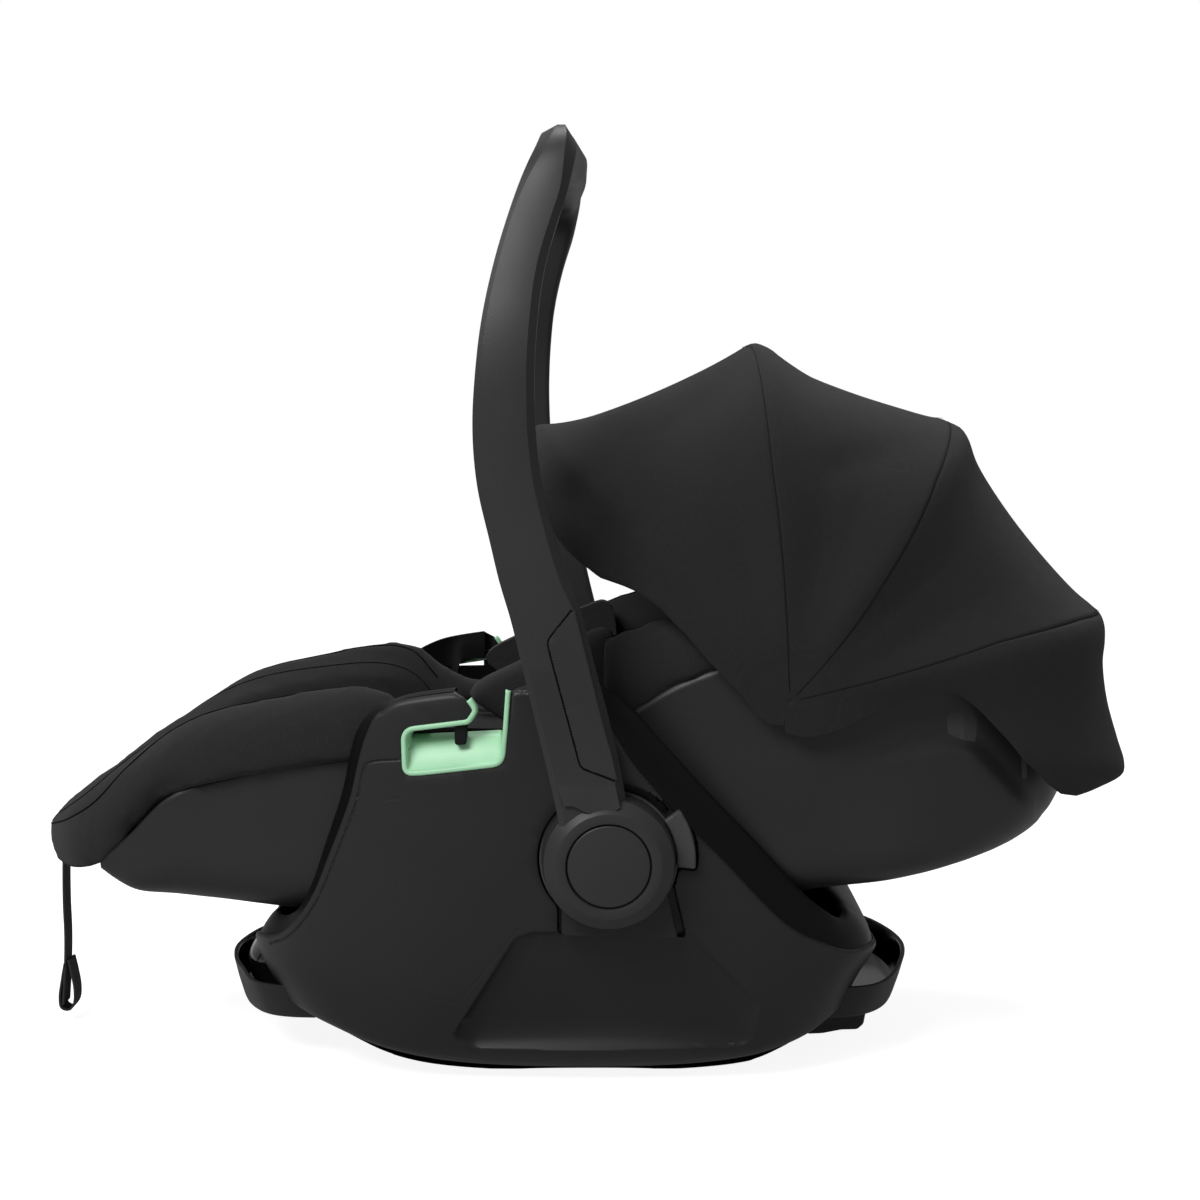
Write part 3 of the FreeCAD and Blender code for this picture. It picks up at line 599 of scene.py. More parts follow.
def skin(s, z, depth=0.0):
    """Point of the near outer wall of the base at plan length s and height z, depth below the surface."""
    s, z = np.asarray(s, float), np.asarray(z, float)
    d = 1.5
    ds = skin_raw(np.clip(s + d, 0, PLAN_S[-1]), z) - skin_raw(np.clip(s - d, 0, PLAN_S[-1]), z)
    dz = skin_raw(s, z + d) - skin_raw(s, z - d)
    n = np.cross(dz, ds)
    n /= np.linalg.norm(n, axis=1, keepdims=True)
    n *= np.where((n * np.array([0.0, -1, 0])).sum(1, keepdims=True) < -0.3, -1, 1)
    p = skin_raw(s, z)
    away = p - np.array([-15.0, 0, 120.0])
    away[:, 2] = 0
    n *= np.where((n * away).sum(1, keepdims=True) < 0, -1, 1)
    return p - n * np.asarray(depth, float).reshape(-1, 1)


def plan_length(x, z):
    """Plan length s of the near wall where it passes x at height z."""
    out = []
    for xi, zi in zip(np.atleast_1d(x), np.atleast_1d(z)):
        xs = stretched_x(PLAN[:, 0], np.full(len(PLAN), zi))
        out.append(np.interp(xi, xs, PLAN_S))
    return np.array(out)


def on_plan(line):
    """(x, z) points as (s, z) points."""
    line = np.asarray(line, float)
    return np.column_stack([plan_length(line[:, 0], line[:, 1]), line[:, 1]])


S_FRONT_60 = float(np.interp(60, PLAN[:300, 1], PLAN_S[:300]))
S_FRONT_95 = float(np.interp(95, PLAN[:300, 1], PLAN_S[:300]))
S_FRONT_110 = float(np.interp(108, PLAN[:300, 1], PLAN_S[:300]))
S_END = PLAN_S[-1]

RIM_FRONT_XZ = smooth_curve([(-212, 89.5), (-205, 93), (-197, 99.5), (-189, 108.5), (-178, 126), (-167, 152),
                             (-158.5, 173), (-152, 191), (-146, 216), (-142, 229), (-135, 243.5), (-124, 253),
                             (-115, 256), (-98, 259), (-84, 260.8)], 130)
RIM_REAR_XZ = smooth_curve([(-35, 262), (-18, 260.5), (-4, 255), (9.5, 244.6), (34, 217), (59, 189), (76, 171),
                            (93, 154), (110, 135), (128, 115.5), (146, 99.5), (164.6, 87.5), (176, 83.5),
                            (186, 82)], 150)
LOWERED = (1 - 1 / (1 + np.exp(-(RIM_REAR_XZ[:, 1] - 228) / 6))) / (1 + np.exp((RIM_REAR_XZ[:, 0] - 146) / 6))
RIM_REAR_XZ = RIM_REAR_XZ + LOWERED[:, None] * np.array([-3.9, -3.7])
GUIDE_XZ = rounded([(-84, 260.8, 0), (-75.0, 255.6, 3), (-70.6, 249.4, 3), (-75, 242.6, 3), (-116.6, 236.8, 9),
                    (-115.8, 207.4, 9), (-104, 208.2, 10), (-52.5, 214.8, 9), (-50.2, 240, 8),
                    (-48.6, 262, 0)], closed=False)
POST_XZ = rounded([(-48.6, 256, 0), (-48, 261.8, 4), (-35, 262, 0)], closed=False)
BOTTOM_XZ = smooth_curve([(-186, 31), (-168, 26.5), (-136, 15), (-95, 5.2), (-45, 0.2), (45, 0.2), (100, 6.7),
                          (139, 17.5), (160, 27)], 120)


def base_outline():
    """The closed outline of the near wall in (s, z), and its named stretches."""
    rim_front = np.vstack([[(0, 69), (S_FRONT_60, 76), (S_FRONT_95, 84)], on_plan(RIM_FRONT_XZ)])
    rim_front = smooth_curve(rim_front[:12], 40)[:-1].tolist() + rim_front[11:].tolist()
    guide = on_plan(GUIDE_XZ)[1:-1]
    post = on_plan(POST_XZ)[1:]
    rim_rear = on_plan(RIM_REAR_XZ)
    rim_rear = np.vstack([rim_rear[1:-1], smooth_curve([rim_rear[-1], (S_END - 112, 80), (S_END - 92, 77),
                                                         (S_END - 40, 73), (S_END, 72)], 30)])
    low = on_plan(BOTTOM_XZ)
    low = np.vstack([[(0, 30), (S_FRONT_110, 31)], low, [(S_END - 90, 30), (S_END, 30)]])
    return np.array(rim_front), guide, post, rim_rear, low


PANEL_LINE_XZ = rounded([(-118, 192, 0), (-133, 190, 7), (-104, 60, 4), (-83, 57, 4), (-44, 108, 0)], closed=False)
FACET_XZ = rounded([(-88, 33, 3), (-46, 102.5, 9), (-35, 107, 6), (64, 107, 5), (112, 54, 4), (106, 24, 10),
                    (-76, 24, 10)])
HUB_RING = np.array([HUB + 45.0 * np.array([math.cos(a), math.sin(a)]) for a in np.linspace(0, 2 * math.pi, 120)[:-1]])
PLATE_GAP = rounded([(-19, 152, 2), (-18.6, 103.6, 1.5), (63.4, 101.8, 1.5), (53, 146, 2)])


def arc_outline(r0, r1, a0, a1, corner=2.5):
    a0, a1 = math.radians(a0), math.radians(a1)
    angles = np.linspace(a0, a1, 9)
    outer = [(*(HUB + r1 * np.array([math.cos(a), math.sin(a)])), corner if k in (0, 8) else 0)
             for k, a in enumerate(angles)]
    inner = [(*(HUB + r0 * np.array([math.cos(a), math.sin(a)])), 0) for a in angles[::-1]]
    return rounded(outer + inner)


LEVER_GAP = arc_outline(42, 56.8, -9, 47.5, 3)
HUB_GAP = arc_outline(41, 49.0, 36, 92, 3)


def beside(rim, by):
    """The line that runs by below a rim, in (s, z)."""
    a, b = offset_points(rim, by, False), offset_points(rim, -by, False)
    return a if a[:, 1].mean() < b[:, 1].mean() else b


def base_grooves(rim_front):
    front = beside(rim_front, 5.6)
    front = front[(front[:, 1] > 84) & (front[:, 1] < 200) & (front[:, 0] > S_FRONT_110)]
    front = np.vstack([front[::6], on_plan([(-142.6, 208), (-140.6, 212.8), (-136.5, 214.9), (-118, 217)])])
    return [smooth_curve(front, 90), on_plan(PANEL_LINE_XZ)]


def base_skin():
    rim_front, guide, post, rim_rear, low = base_outline()
    grooves = base_grooves(rim_front)
    step = 3.0
    top = np.vstack([spaced(rim_front, step), spaced(guide, 2.0), spaced(post, 2.0), spaced(rim_rear, step)])
    gap = np.linalg.norm(np.diff(top, axis=0), axis=1)
    top = top[np.concatenate([[True], gap > 0.3])]
    bottom = spaced(low, 5.0)[::-1]
    loop = np.vstack([top, bottom])
    rim_all = [rim_front, np.vstack([post, rim_rear])]

    def both_rims(p):
        return np.minimum(distance(p, rim_all[0]), distance(p, rim_all[1]))
    rings = (-0.3, -0.9, -1.8, -3.0, -4.6, 0.3, 0.9, 1.8, 3.0, 4.6)
    small = (-1.1, -0.4, 0.2, 0.9)

    edges = [
        (rim_all[0], False, rings, 3.0), (rim_all[1], False, rings, 3.0), (guide, False, (-0.4, -1.2, 0.4, 1.2), 2.5),
        (low, False, (-1, -3, -6, -10, -14, -20, 1, 3, 6, 10, 14, 20), 6.0),
        (on_plan(HUB_RING), True, small, 3.0), (on_plan(LEVER_GAP), True, small, 2.4),
        (on_plan(HUB_GAP), True, small, 2.4),
        (on_plan(PLATE_GAP), True, small, 2.4), (on_plan(FACET_XZ), True, (-2.4, -1.4, -0.5, 0.3, 1.2), 4.0),
    ]
    edges += [(g, False, (-1.4, -0.8, -0.4, 0.0, 0.4, 0.8, 1.4), 2.0) for g in grooves]
    verts, faces = triangulated(loop, 8.0, edges)
    s, z = verts[:, 0], verts[:, 1]
    p = np.column_stack([s, z])
    x = stretched_x(np.interp(s, PLAN_S, PLAN[:, 0]), z)
    q = np.column_stack([x, z])
    d_rim = both_rims(p)
    depth = np.maximum(fillet(d_rim, 3.0), fillet(distance(p, low), 13.0))
    hook = (x > -132) & (x < -60) & (z > 240)
    depth = np.maximum(depth, np.where(hook, fillet(d_rim, 5.5), 0))
    depth = np.maximum(depth, fillet(distance(p, guide), 1.0))
    for ring, deep in ((HUB_RING, 8.0), (HUB_GAP, 13.0), (LEVER_GAP, 7.0), (PLATE_GAP, 7.0)):
        sd = signed(q, ring)
        depth = np.maximum(depth, deep * (1 - eased(sd, -0.35, 0.15)))
        depth = np.maximum(depth, np.where(sd > 0, fillet(sd, 0.9), 0))
    sd = signed(q, FACET_XZ)
    w = np.interp(s, PLAN_S, PLAN[:, 1]) * np.interp(z, FLARE[:, 0], FLARE[:, 1])
    depth = np.maximum(depth, np.maximum(w - (156.5 + 0.34 * (z - 25)), 0) * (1 - eased(sd, -2.2, 0.2)))
    for line, deep in zip(grooves, (1.5, 0.3)):
        depth = depth + deep * np.exp(-(distance(p, line) / 0.5) ** 2)
    outer = skin(s, z, depth)
    outer[:, 2] = np.maximum(outer[:, 2], 0.05)
    under_edge = skin(low[:, 0], low[:, 1], np.full(len(low), 13.0))
    under_edge[:, 2] = np.maximum(low[:, 1] - 0.1, 0.05)
    rows = np.stack([under_edge * np.array([1, k, 1]) for k in np.linspace(1, -1, 13)], axis=0)
    under = sheet_mesh(rows)
    near = (outer, faces)
    return both_sides(*near), under, rim_front, post, rim_rear


def inward(s_at):
    """Level direction in from the near wall at plan length s."""
    a = skin_raw(np.clip(s_at + 3, 0, S_END), np.full(len(s_at), 95.0))
    b = skin_raw(np.clip(s_at - 3, 0, S_END), np.full(len(s_at), 95.0))
    t = a - b
    n = np.column_stack([-t[:, 1], t[:, 0], np.zeros(len(t))])
    n /= np.linalg.norm(n, axis=1, keepdims=True)
    here = skin_raw(s_at, np.full(len(s_at), 95.0)) - np.array([-15.0, 0, 95.0])
    return n * np.where((n * here).sum(1, keepdims=True) > 0, -1, 1)


def band_rows(rim, rise, tuck, inner_floor):
    """The wall that stands inside a rim: from the skin's edge up to its own top, leaning in by tuck, then down."""
    t = np.gradient(rim, axis=0)
    t /= np.maximum(np.linalg.norm(t, axis=1, keepdims=True), 1e-9)
    out = np.column_stack([-t[:, 1], t[:, 0]])
    out *= np.where(out[:, 1:2] < 0, -1, 1)
    rows = []
    for share, depth, lean in ((0.0, 3.0, 0.0), (0.0, 3.6, 0.0), (0.10, 5.0, 0.02), (0.3, 6.6, 0.12), (0.5, 8.2, 0.28),
                               (0.7, 9.8, 0.50), (0.86, 11.5, 0.74), (0.96, 12.6, 0.93), (1.0, 13.6, 1.08),
                               (0.98, 14.8, 1.2), (0.93, 15.6, 1.28)):
        q = rim + out * (rise * share)[:, None]
        q[:, 0] = np.clip(q[:, 0], 0, S_END)
        rows.append(skin_raw(q[:, 0], q[:, 1]) + inward(q[:, 0]) * (depth + tuck * lean)[:, None])
    top = rows[-1]
    for share in (0.08, 0.3, 0.6, 1.0):
        z = top[:, 2] * (1 - share) + np.minimum(inner_floor, top[:, 2]) * share
        wall = skin_raw(q[:, 0], z) + inward(q[:, 0]) * (17.0 + 1.28 * tuck + 2.0 * share)[:, None]
        part = min(share * 2.5, 1.0)
        low = top * (1 - part) + wall * part
        low[:, 2] = z
        rows.append(low)
    rows = np.array(rows)
    rows[:, :, 1] = np.minimum(rows[:, :, 1], 0.0)
    return rows


def base_pieces():
    """Outer wall, and the inner tub whose upper edge stands inside the rim."""
    skin_mesh, under, rim_front, post, rim_rear = base_skin()
    add_mesh("base_outer_wall", *merged(skin_mesh, under), "shell", "base", sharp=50,
             replaces=("base_shell", "side_cover_left", "side_cover_right"))
    front = spaced(rim_front, 3.0)
    fx = skin_raw(front[:, 0], front[:, 1])[:, 0]
    span = front[:, 0]
    rise = np.interp(span, [0, 50, 85, 120, 160, 200], [32, 27, 19, 13, 11, 10.5])
    rise = np.minimum(rise, np.interp(fx, [-150, -140, -126, -100], [40, 8.5, 1.5, 1]))
    tuck = 26 * (1 - eased(span, 20, 125))
    rows_front = band_rows(front, rise, tuck, np.where((fx > -114) & (fx < -80), 241.0, 26.0))
    low_front = band_rows(front, rise, tuck, 26.0)[-1]
    rear = spaced(np.vstack([post, rim_rear]), 3.0)
    rx = skin_raw(rear[:, 0], rear[:, 1])[:, 0]
    rise = np.interp(rx, [-48, -40, -20, 0, 14, 120, 150], [1, 1, 7, 14, 18, 19, 20])
    rise = rise + 14 * eased(rear[:, 0], S_END - 150, S_END - 20)
    rise = rise + np.interp(rx, RIM_REAR_XZ[:, 0], 5.4 * LOWERED)
    tuck = 24 * eased(rear[:, 0], S_END - 190, S_END - 10)
    rows_rear = band_rows(rear, rise, tuck, 26.0)
    meshes = []
    for rows in (rows_front, rows_rear):
        for _ in range(6):
            rows[:, 1:-1] = 0.25 * rows[:, :-2] + 0.5 * rows[:, 1:-1] + 0.25 * rows[:, 2:]
        meshes.append(both_sides(*sheet_mesh(rows)))
    x_wall = np.linspace(-124, -40, 12)
    s_wall = on_plan(np.column_stack([x_wall, np.full(12, 220.0)]))[:, 0]
    patch = np.array([skin(s_wall, np.full(12, z), np.full(12, 17.4)) for z in (235.2, 233, 200, 120, 30)])
    meshes.append(both_sides(*sheet_mesh(patch)))
    floor_line = np.vstack([low_front, rows_rear[-1]])
    across = np.stack([floor_line * np.array([1, k, 1]) for k in np.linspace(1, -1, 9)], axis=0)
    meshes.append(sheet_mesh(across))
    # the inner tub's near-black colour is partly painted shade of the recess inside the rim
    add_mesh("base_inner_tub", *merged(*meshes), "inner", "base", sharp=45,
             replaces=("cradle_rail_left", "cradle_rail_right"))


def nose(profile, half, name, mat):
    """Rounded block that swells out of the middle of an end wall."""
    p = smooth_curve(profile, 28)
    foot = p[0, 0]
    rows = []
    for k in np.linspace(-1, 1, 33):
        q = p.copy()
        q[:, 0] = foot + (p[:, 0] - foot) * (1 - abs(k) ** 3.2) ** 0.6
        rows.append(np.column_stack([q[:, 0], np.full(len(q), half * k), q[:, 1]]))
    rows = np.array(rows)
    add_mesh(name, *sheet_mesh(rows), mat, "base", sharp=60)


def bumper(name, node, top_line, low_line):
    """Flat band that loops round one end: outer face satin, inner face glossy."""
    top, low = smooth_curve(top_line, 90), smooth_curve(low_line, 90)
    thick = 3.4
    tan = np.gradient(top, axis=0)
    tan[:, 2] = 0
    tan /= np.linalg.norm(tan, axis=1, keepdims=True)
    out = np.column_stack([tan[:, 1], -tan[:, 0], np.zeros(len(tan))])
    out *= np.where((out * top).sum(1, keepdims=True) < 0, -1, 1)
    ring = []
    for share, push in ((0.0, -1.2), (0.02, -0.3), (0.07, 0.0), (0.5, 0.35), (0.93, 0.0), (0.98, -0.3), (1.0, -1.2),
                        (1.0, -thick + 1.2), (0.98, -thick + 0.3), (0.93, -thick), (0.5, -thick), (0.07, -thick),
                        (0.02, -thick + 0.3), (0.0, -thick + 1.2)):
        ring.append(low * share + top * (1 - share) + out * push)
    rows = np.array(ring)
    inner = low * 0.86 + top * 0.14 - out * (thick - 0.6)
    tray = np.stack([inner[:45], inner[45:][::-1]], axis=0)
    loop = (rows.reshape(-1, 3), grid_faces(len(rows), 90, wrap_rows=True))
    made = add_mesh(name, *merged(loop, sheet_mesh(tray)), "shell", "base", sharp=60,
                    replaces=(node,), weld=0)
    made.data.materials.append(MATS["gloss"])
    for face in made.data.polygons:
        out_way = Vector((face.center.x, face.center.y, 0.0)).normalized()
        if face.normal.dot(out_way) < 0.2 and abs(face.normal.z) < 0.6 or face.index >= 14 * 89:
            face.material_index = 1


def catch_block():
    """The block under the head end of the base."""
    line = [(150, 9, 2), (161, 9.5, 1), (174, 12, 1), (185, 12.3, 3), (189.2, 16, 2), (192, 31, 1), (150, 31, 1)]
    verts, faces = slab(rounded(line), -76, 76, 1.4, step=6)
    add_mesh("rear_catch", verts, faces, "shell", "base", replaces=("rear_catch_block",))


# ---------------------------------------------------------------- belt guides
def belt_guide():
    """Green liner of one belt slot: a lip round the edge, and walls that run in with a floor that climbs."""
    line = spaced(GUIDE_XZ[6:], 1.6)
    n = offset_points(line, 1.0, False) - line
    inner_side = n
    if not inside(line[len(line) // 3:][:1] + inner_side[len(line) // 3:][:1] * 3, GUIDE_XZ)[0]:
        inner_side = -n
    z_low = 1 - eased(line[:, 1], 212, 226)
    floor = z_low * (line[:, 0] > -117)
    shallow = np.where((line[:, 1] > 235) & (line[:, 0] < -78), 17.9, np.where(line[:, 1] > 238, 5.0, 30.0))
    rows = []
    for push, depth in ((-0.4, 1.2), (-0.3, -0.2), (0.2, -0.5), (1.2, -0.5), (1.6, -0.2), (1.8, 0.6), (1.9, 2.0),
                        (1.9, 6.0), (1.9, 10.5), (1.9, 15.5)):
        q = line + inner_side * push
        lift = floor * min(max(depth - 1.5, 0) / 13.5, 1.0) * 23.2
        sq = on_plan(q)
        pts = skin(sq[:, 0], q[:, 1], np.minimum(depth, shallow))
        top = 231.2 + 0.06 * (q[:, 0] + 109)
        pts[:, 2] = np.where(pts[:, 2] < 227, np.minimum(pts[:, 2] + lift, top), pts[:, 2])
        rows.append(pts)
    rows = np.array(rows)
    return sheet_mesh(rows)


def guides():
    """Both liners and the rubber keepers in their slots."""
    verts, faces = belt_guide()
    for side, near in SIDES:
        made = add_mesh("belt_liner_" + side, *on_side((verts, faces), near), "guide", "base", sharp=70,
                        replaces=("belt_guide_" + side,))
        thick = made.modifiers.new("thickness", "SOLIDIFY")
        thick.thickness, thick.offset = 0.0012, 0.0
    tab = slab(rounded([(-83.6, 246, 0.5), (-75.4, 247, 0.5), (-75.8, 227.2, 1.5), (-83.2, 226.6, 1.5)]),
               -189.5, -178, 0.8)
    for side, near in SIDES:
        add_mesh("keeper_tab_" + side, *on_side(tab, near), "rubber", "base", replaces=("belt_keeper_" + side,))


# ---------------------------------------------------------------- handle
HANDLE_LEFT = smooth_curve([(140, -12), (184, -18), (199, -21), (231, -28.5), (275, -39), (309, -47.1), (332, -53.9),
                            (358, -59.9), (389, -67), (414, -69.6), (434, -69.9), (454, -68.7), (485, -65.5),
                            (509, -61.3), (535, -55.1), (559, -47.9), (583, -39.5), (597, -33.5), (606, -29.3),
                            (616, -26)], 200)
HANDLE_RIGHT = smooth_curve([(140, 33), (190, 25), (214, 21), (245, 14), (275, 6), (303, -1), (314, -3.4),
                             (318, -4.6), (324, -8.4), (329, -10.4), (342, -15), (367, -22), (393, -28),
                             (424, -31.5), (444, -32), (464, -32), (495, -30), (525, -26), (555, -17.5),
                             (575, -10.6), (590, -7.2), (600, -5.6), (610, -4.8), (616, -6)], 240)


def handle_mesh():
    """The handle as one closed tube from hub to hub: two level arms that narrow upwards, and the bar."""
    outer = rounded([(-215, 150, 0), (-215, 476, 260), (-182, 616, 36), (0, 616, 0)], closed=False, arc=16)
    inner = rounded([(-199.5, 150, 0), (-199.5, 468, 240), (-164, 587, 28), (0, 587, 0)], closed=False, arc=16)
    # the same share of each path is matched up, arm by arm and corner by corner
    outer, inner = evenly(outer, 110), evenly(inner, 110)
    rings = []
    for (yo, zo), (yi, zi) in zip(outer, inner):
        lo, ro = np.interp(zo, *HANDLE_LEFT.T), np.interp(zo, *HANDLE_RIGHT.T)
        li, ri = np.interp(zi, *HANDLE_LEFT.T), np.interp(zi, *HANDLE_RIGHT.T)
        thick = math.hypot(yo - yi, zo - zi)
        top = float(eased(zo, 560, 606))
        r1, r2, r3 = 3.6 + 4.0 * top, 4.8 + 3.0 * top, 3.5 + 3.5 * top
        ring = []
        corners = (((0, 0), (1, 1), r1), ((1, 0), (-1, 1), r2), ((1, 1), (-1, -1), r3), ((0, 1), (1, -1), r3))
        for (cu, cv), (du, dv), r in corners:
            arc = []
            for k in range(6):
                a = k / 5 * math.pi / 2
                arc.append((du * r * (1 - math.sin(a)), dv * r * (1 - math.cos(a))))
            if cv == 0:
                arc = [(du * r * (1 - k / 5), dv * (1.5 if cu else 0.7) * r * k / 5) for k in range(6)]
            if (cu, cv) in ((0, 0), (1, 1)):
                arc = arc[::-1]
            for du_mm, dv_mm in arc:
                v = cv + dv_mm / thick
                y = yo + (yi - yo) * v
                middle = 1 - float(eased(abs(y), 10, 165))
                left, right = lo + (li - lo) * v, ro + (ri - ro) * v + 6.0 * middle
                ring.append(((left if cu == 0 else right) + du_mm, y, zo + (zi - zo) * v + 3.0 * middle))
        rings.append(ring)
    rows = np.array(rings)
    mirror = rows[:-1][::-1] * np.array([1, -1, 1])
    whole = np.vstack([rows, mirror])
    return tube_mesh(whole)


PANEL_LEFT = rounded([(-9.2, 314.5, 0), (-24.4, 295.5, 6), (-22.6, 287, 20), (-3.8, 216.5, 5),
                      (17.4, 208.4, 0)], closed=False)
ARM_PANEL = np.vstack([PANEL_LEFT, [(19.0, 209.0), (16.2, 222), (9.8, 245), (-1.2, 290), (-7.2, 314)]])


def hub_profile():
    """(radius, y) of the button, the gap round it and the hub cap."""
    return [(0.01, -218.6), (24.6, -218.6), (25.4, -218.4), (25.9, -217.8), (26.1, -216.4), (26.5, -216.4),
            (26.7, -218.4), (27.2, -219.2), (28.2, -219.5), (33.0, -219.5), (33.4, -219.35), (39.9, -211.9),
            (40.7, -211.4), (41.2, -209.6), (41.3, -204.0), (42.4, -196.0), (42.6, -191.6), (0.01, -191.6)]


def button_coils():
    """The return spring behind each hub button."""
    turn, wire = np.linspace(0, 4 * math.pi, 81), np.linspace(0, 2 * math.pi, 9)[:-1]
    rows = []
    for a in turn:
        c = np.array([HUB[0] + 6 * math.cos(a), -208.6 - 3.2 * a / turn[-1], HUB[1] + 6 * math.sin(a)])
        out = np.array([math.cos(a), 0, math.sin(a)])
        rows.append([c + 0.5 * (out * math.cos(b) + np.array([0, 1, 0]) * math.sin(b)) for b in wire])
    rows = np.array(rows)
    coil = tube_mesh(rows)
    for side, near in SIDES:
        made = add_mesh("button_coil_" + side, *on_side(coil, near), "steel", "handle", sharp=60,
                        replaces=("button_spring_" + side,), weld=0)
        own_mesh(made)


def handle_pieces():
    """Handle with its hubs, arm inserts, hub buttons, adapter levers and adapter plates."""
    verts, faces = handle_mesh()
    cap, cap_faces = lathe(hub_profile()[5:], HUB)
    hubs = both_sides(cap, cap_faces)
    # the arm's face runs down onto the hub and stops at a curved crease
    crease = smooth_curve(HUB + np.array([(-27.5, 37.5), (-22.3, 37.6), (-12.9, 33.0), (-3.9, 31.2), (2.9, 33.6),
                                          (7.0, 36.8)]), 30)
    ends = np.interp(206, *HANDLE_LEFT.T) + 3.8, np.interp(206, *HANDLE_RIGHT.T) - 5.0
    high = np.column_stack([np.linspace(*ends, 30), np.full(30, 206.0)])
    ramp = []
    for share, y in ((0.0, -214.0), (0.0, -217.1), (0.03, -217.5), (0.3, -216.8), (0.6, -216.1), (1.0, -215.05)):
        q = crease * (1 - share) + high * share
        ramp.append(np.column_stack([q[:, 0], np.full(30, y), q[:, 1]]))
    ramp = np.array(ramp)
    walls = [edge * [1, 0, 1] + [0, -206.0, 0] for edge in (ramp[:, :1], ramp[:, -1:])]
    hubs = merged(hubs, both_sides(*sheet_mesh(np.concatenate([walls[0], ramp, walls[1]], axis=1))))
    add_mesh("carry_handle", *merged((verts, faces), hubs), "handle", "handle", sharp=32, replaces=("handle_frame",))
    plate = slab(ARM_PANEL, -215.5, -212.5, 0.7, step=14)
    # near-black ribbon along the insert's edge: painted shade in the gap between insert and arm
    groove = np.array([(x, -215.35, z) for x, z in spaced(PANEL_LEFT, 3.0)])
    line = ribbon(groove, 1.3, (0, -1, 0))
    for side, near in SIDES:
        add_mesh("arm_insert_" + side, *on_side(plate, near), "insert", "handle", replaces=("arm_cover_" + side,))
        add_mesh("arm_insert_gap_" + side, *on_side(line, near), "groove", "handle")
        button = lathe(hub_profile()[:5] + [(25.8, -212.6), (0.01, -212.6)], HUB)
        body = "handle_button_near" if near else "handle_button_far"
        add_mesh("hub_button_" + side, *on_side(button, near), "handle", body, replaces=("handle_button_" + side,))
        lever = slab(arc_outline(42.9, 54.8, -6, 35.5, 1.2), -197.6, -190.6, 0.9, step=6)
        ring = lathe([(9, -191.2), (43.8, -191.2), (43.8, -187.4), (9, -187.4)], HUB)
        body = "release_lever_near" if near else "release_lever_far"
        add_mesh("adapter_release_" + side, *on_side(merged(lever, ring), near), "lever", body,
                 replaces=("release_lever_" + side,))
        plate_low = slab(rounded([(-16.4, 150, 1), (-16, 105.6, 1.5), (57.6, 103.6, 1.5), (48, 146, 1)]),
                         -195.0, -184, 1.2, step=8)
        add_mesh("adapter_plate_" + side, *on_side(plate_low, near), "shell", "base",
                 replaces=("adapter_cover_" + side,))


# ---------------------------------------------------------------- seat shells
PAN_SHELL = [(-325, 112, 131, 137), (-314, 116, 122, 147), (-302, 121, 115.5, 158), (-280, 128, 112.5, 180),
             (-264, 130, 111, 189), (-242, 132, 109, 196), (-208, 136, 105.5, 204), (-158, 142, 101, 212),
             (-100, 146, 98, 217), (-48, 146, 96, 220)]
BACK_SHELL = [(-8, 142, 112, 222), (27, 149, 108, 242), (60, 154, 108, 262), (100, 158, 112, 277),
              (150, 160, 122, 287), (200, 158, 127.5, 283), (245, 149, 137, 266), (285, 132, 150, 240),
              (308, 112, 163, 222), (322, 88, 180, 208)]


TUB_RING = 101


def tub_rows(stations, count):
    """U sections with upright walls, rounded lower corners and a flat bottom."""
    rows = []
    for x, half, low, high in smooth_curve(stations, count):
        r = min(36.0, 0.8 * (high - low), 0.5 * half)
        path = rounded([(half, high, 0), (half - 2, low, r), (2 - half, low, r), (-half, high, 0)],
                       closed=False, arc=14)
        path = evenly(path, TUB_RING)
        rows.append(np.column_stack([np.full(TUB_RING, x), path[:, 0], path[:, 1]]))
    return np.array(rows)


def shell_piece(name, stations, body, node, closed_end, carve=None):
    """One seat tub as a thin shell."""
    rows = tub_rows(stations, 150)
    if carve is not None:
        rows = carve(rows)
    faces = grid_faces(*rows.shape[:2])
    if closed_end:
        faces.append(tuple((len(rows) - 1) * rows.shape[1] + j for j in range(rows.shape[1])))
    made = add_mesh(name, rows.reshape(-1, 3), faces, "seat_shell", body, sharp=40, replaces=(node,))
    thick = made.modifiers.new("thickness", "SOLIDIFY")
    thick.thickness, thick.offset = 0.0035, -1.0
    return made


CREASE = smooth_curve([(120, 196), (178, 206), (215, 214), (243, 216), (262.5, 201), (280, 182.5), (300, 163)], 60)


def carve_shoulder(rows):
    """Scoops the upper side of the backrest shell above a crease that runs down to the head end."""
    p = rows.reshape(-1, 3).copy()
    q = p[:, [0, 2]]
    below = np.column_stack([np.append(CREASE[:, 0], [300, 120]), np.append(CREASE[:, 1], [0, 0])])
    sd = signed(q, below)
    strength = eased(p[:, 0], 150, 225) * (np.abs(p[:, 1]) > 40)
    push = 7.0 * eased(sd, -1.0, 9.0) * strength * eased(45 - np.maximum(sd - 20, 0), 0, 45)
    p[:, 1] -= np.sign(p[:, 1]) * push
    return p.reshape(rows.shape)


# ---------------------------------------------------------------- padded covers
SWELL_FRAMES = 20


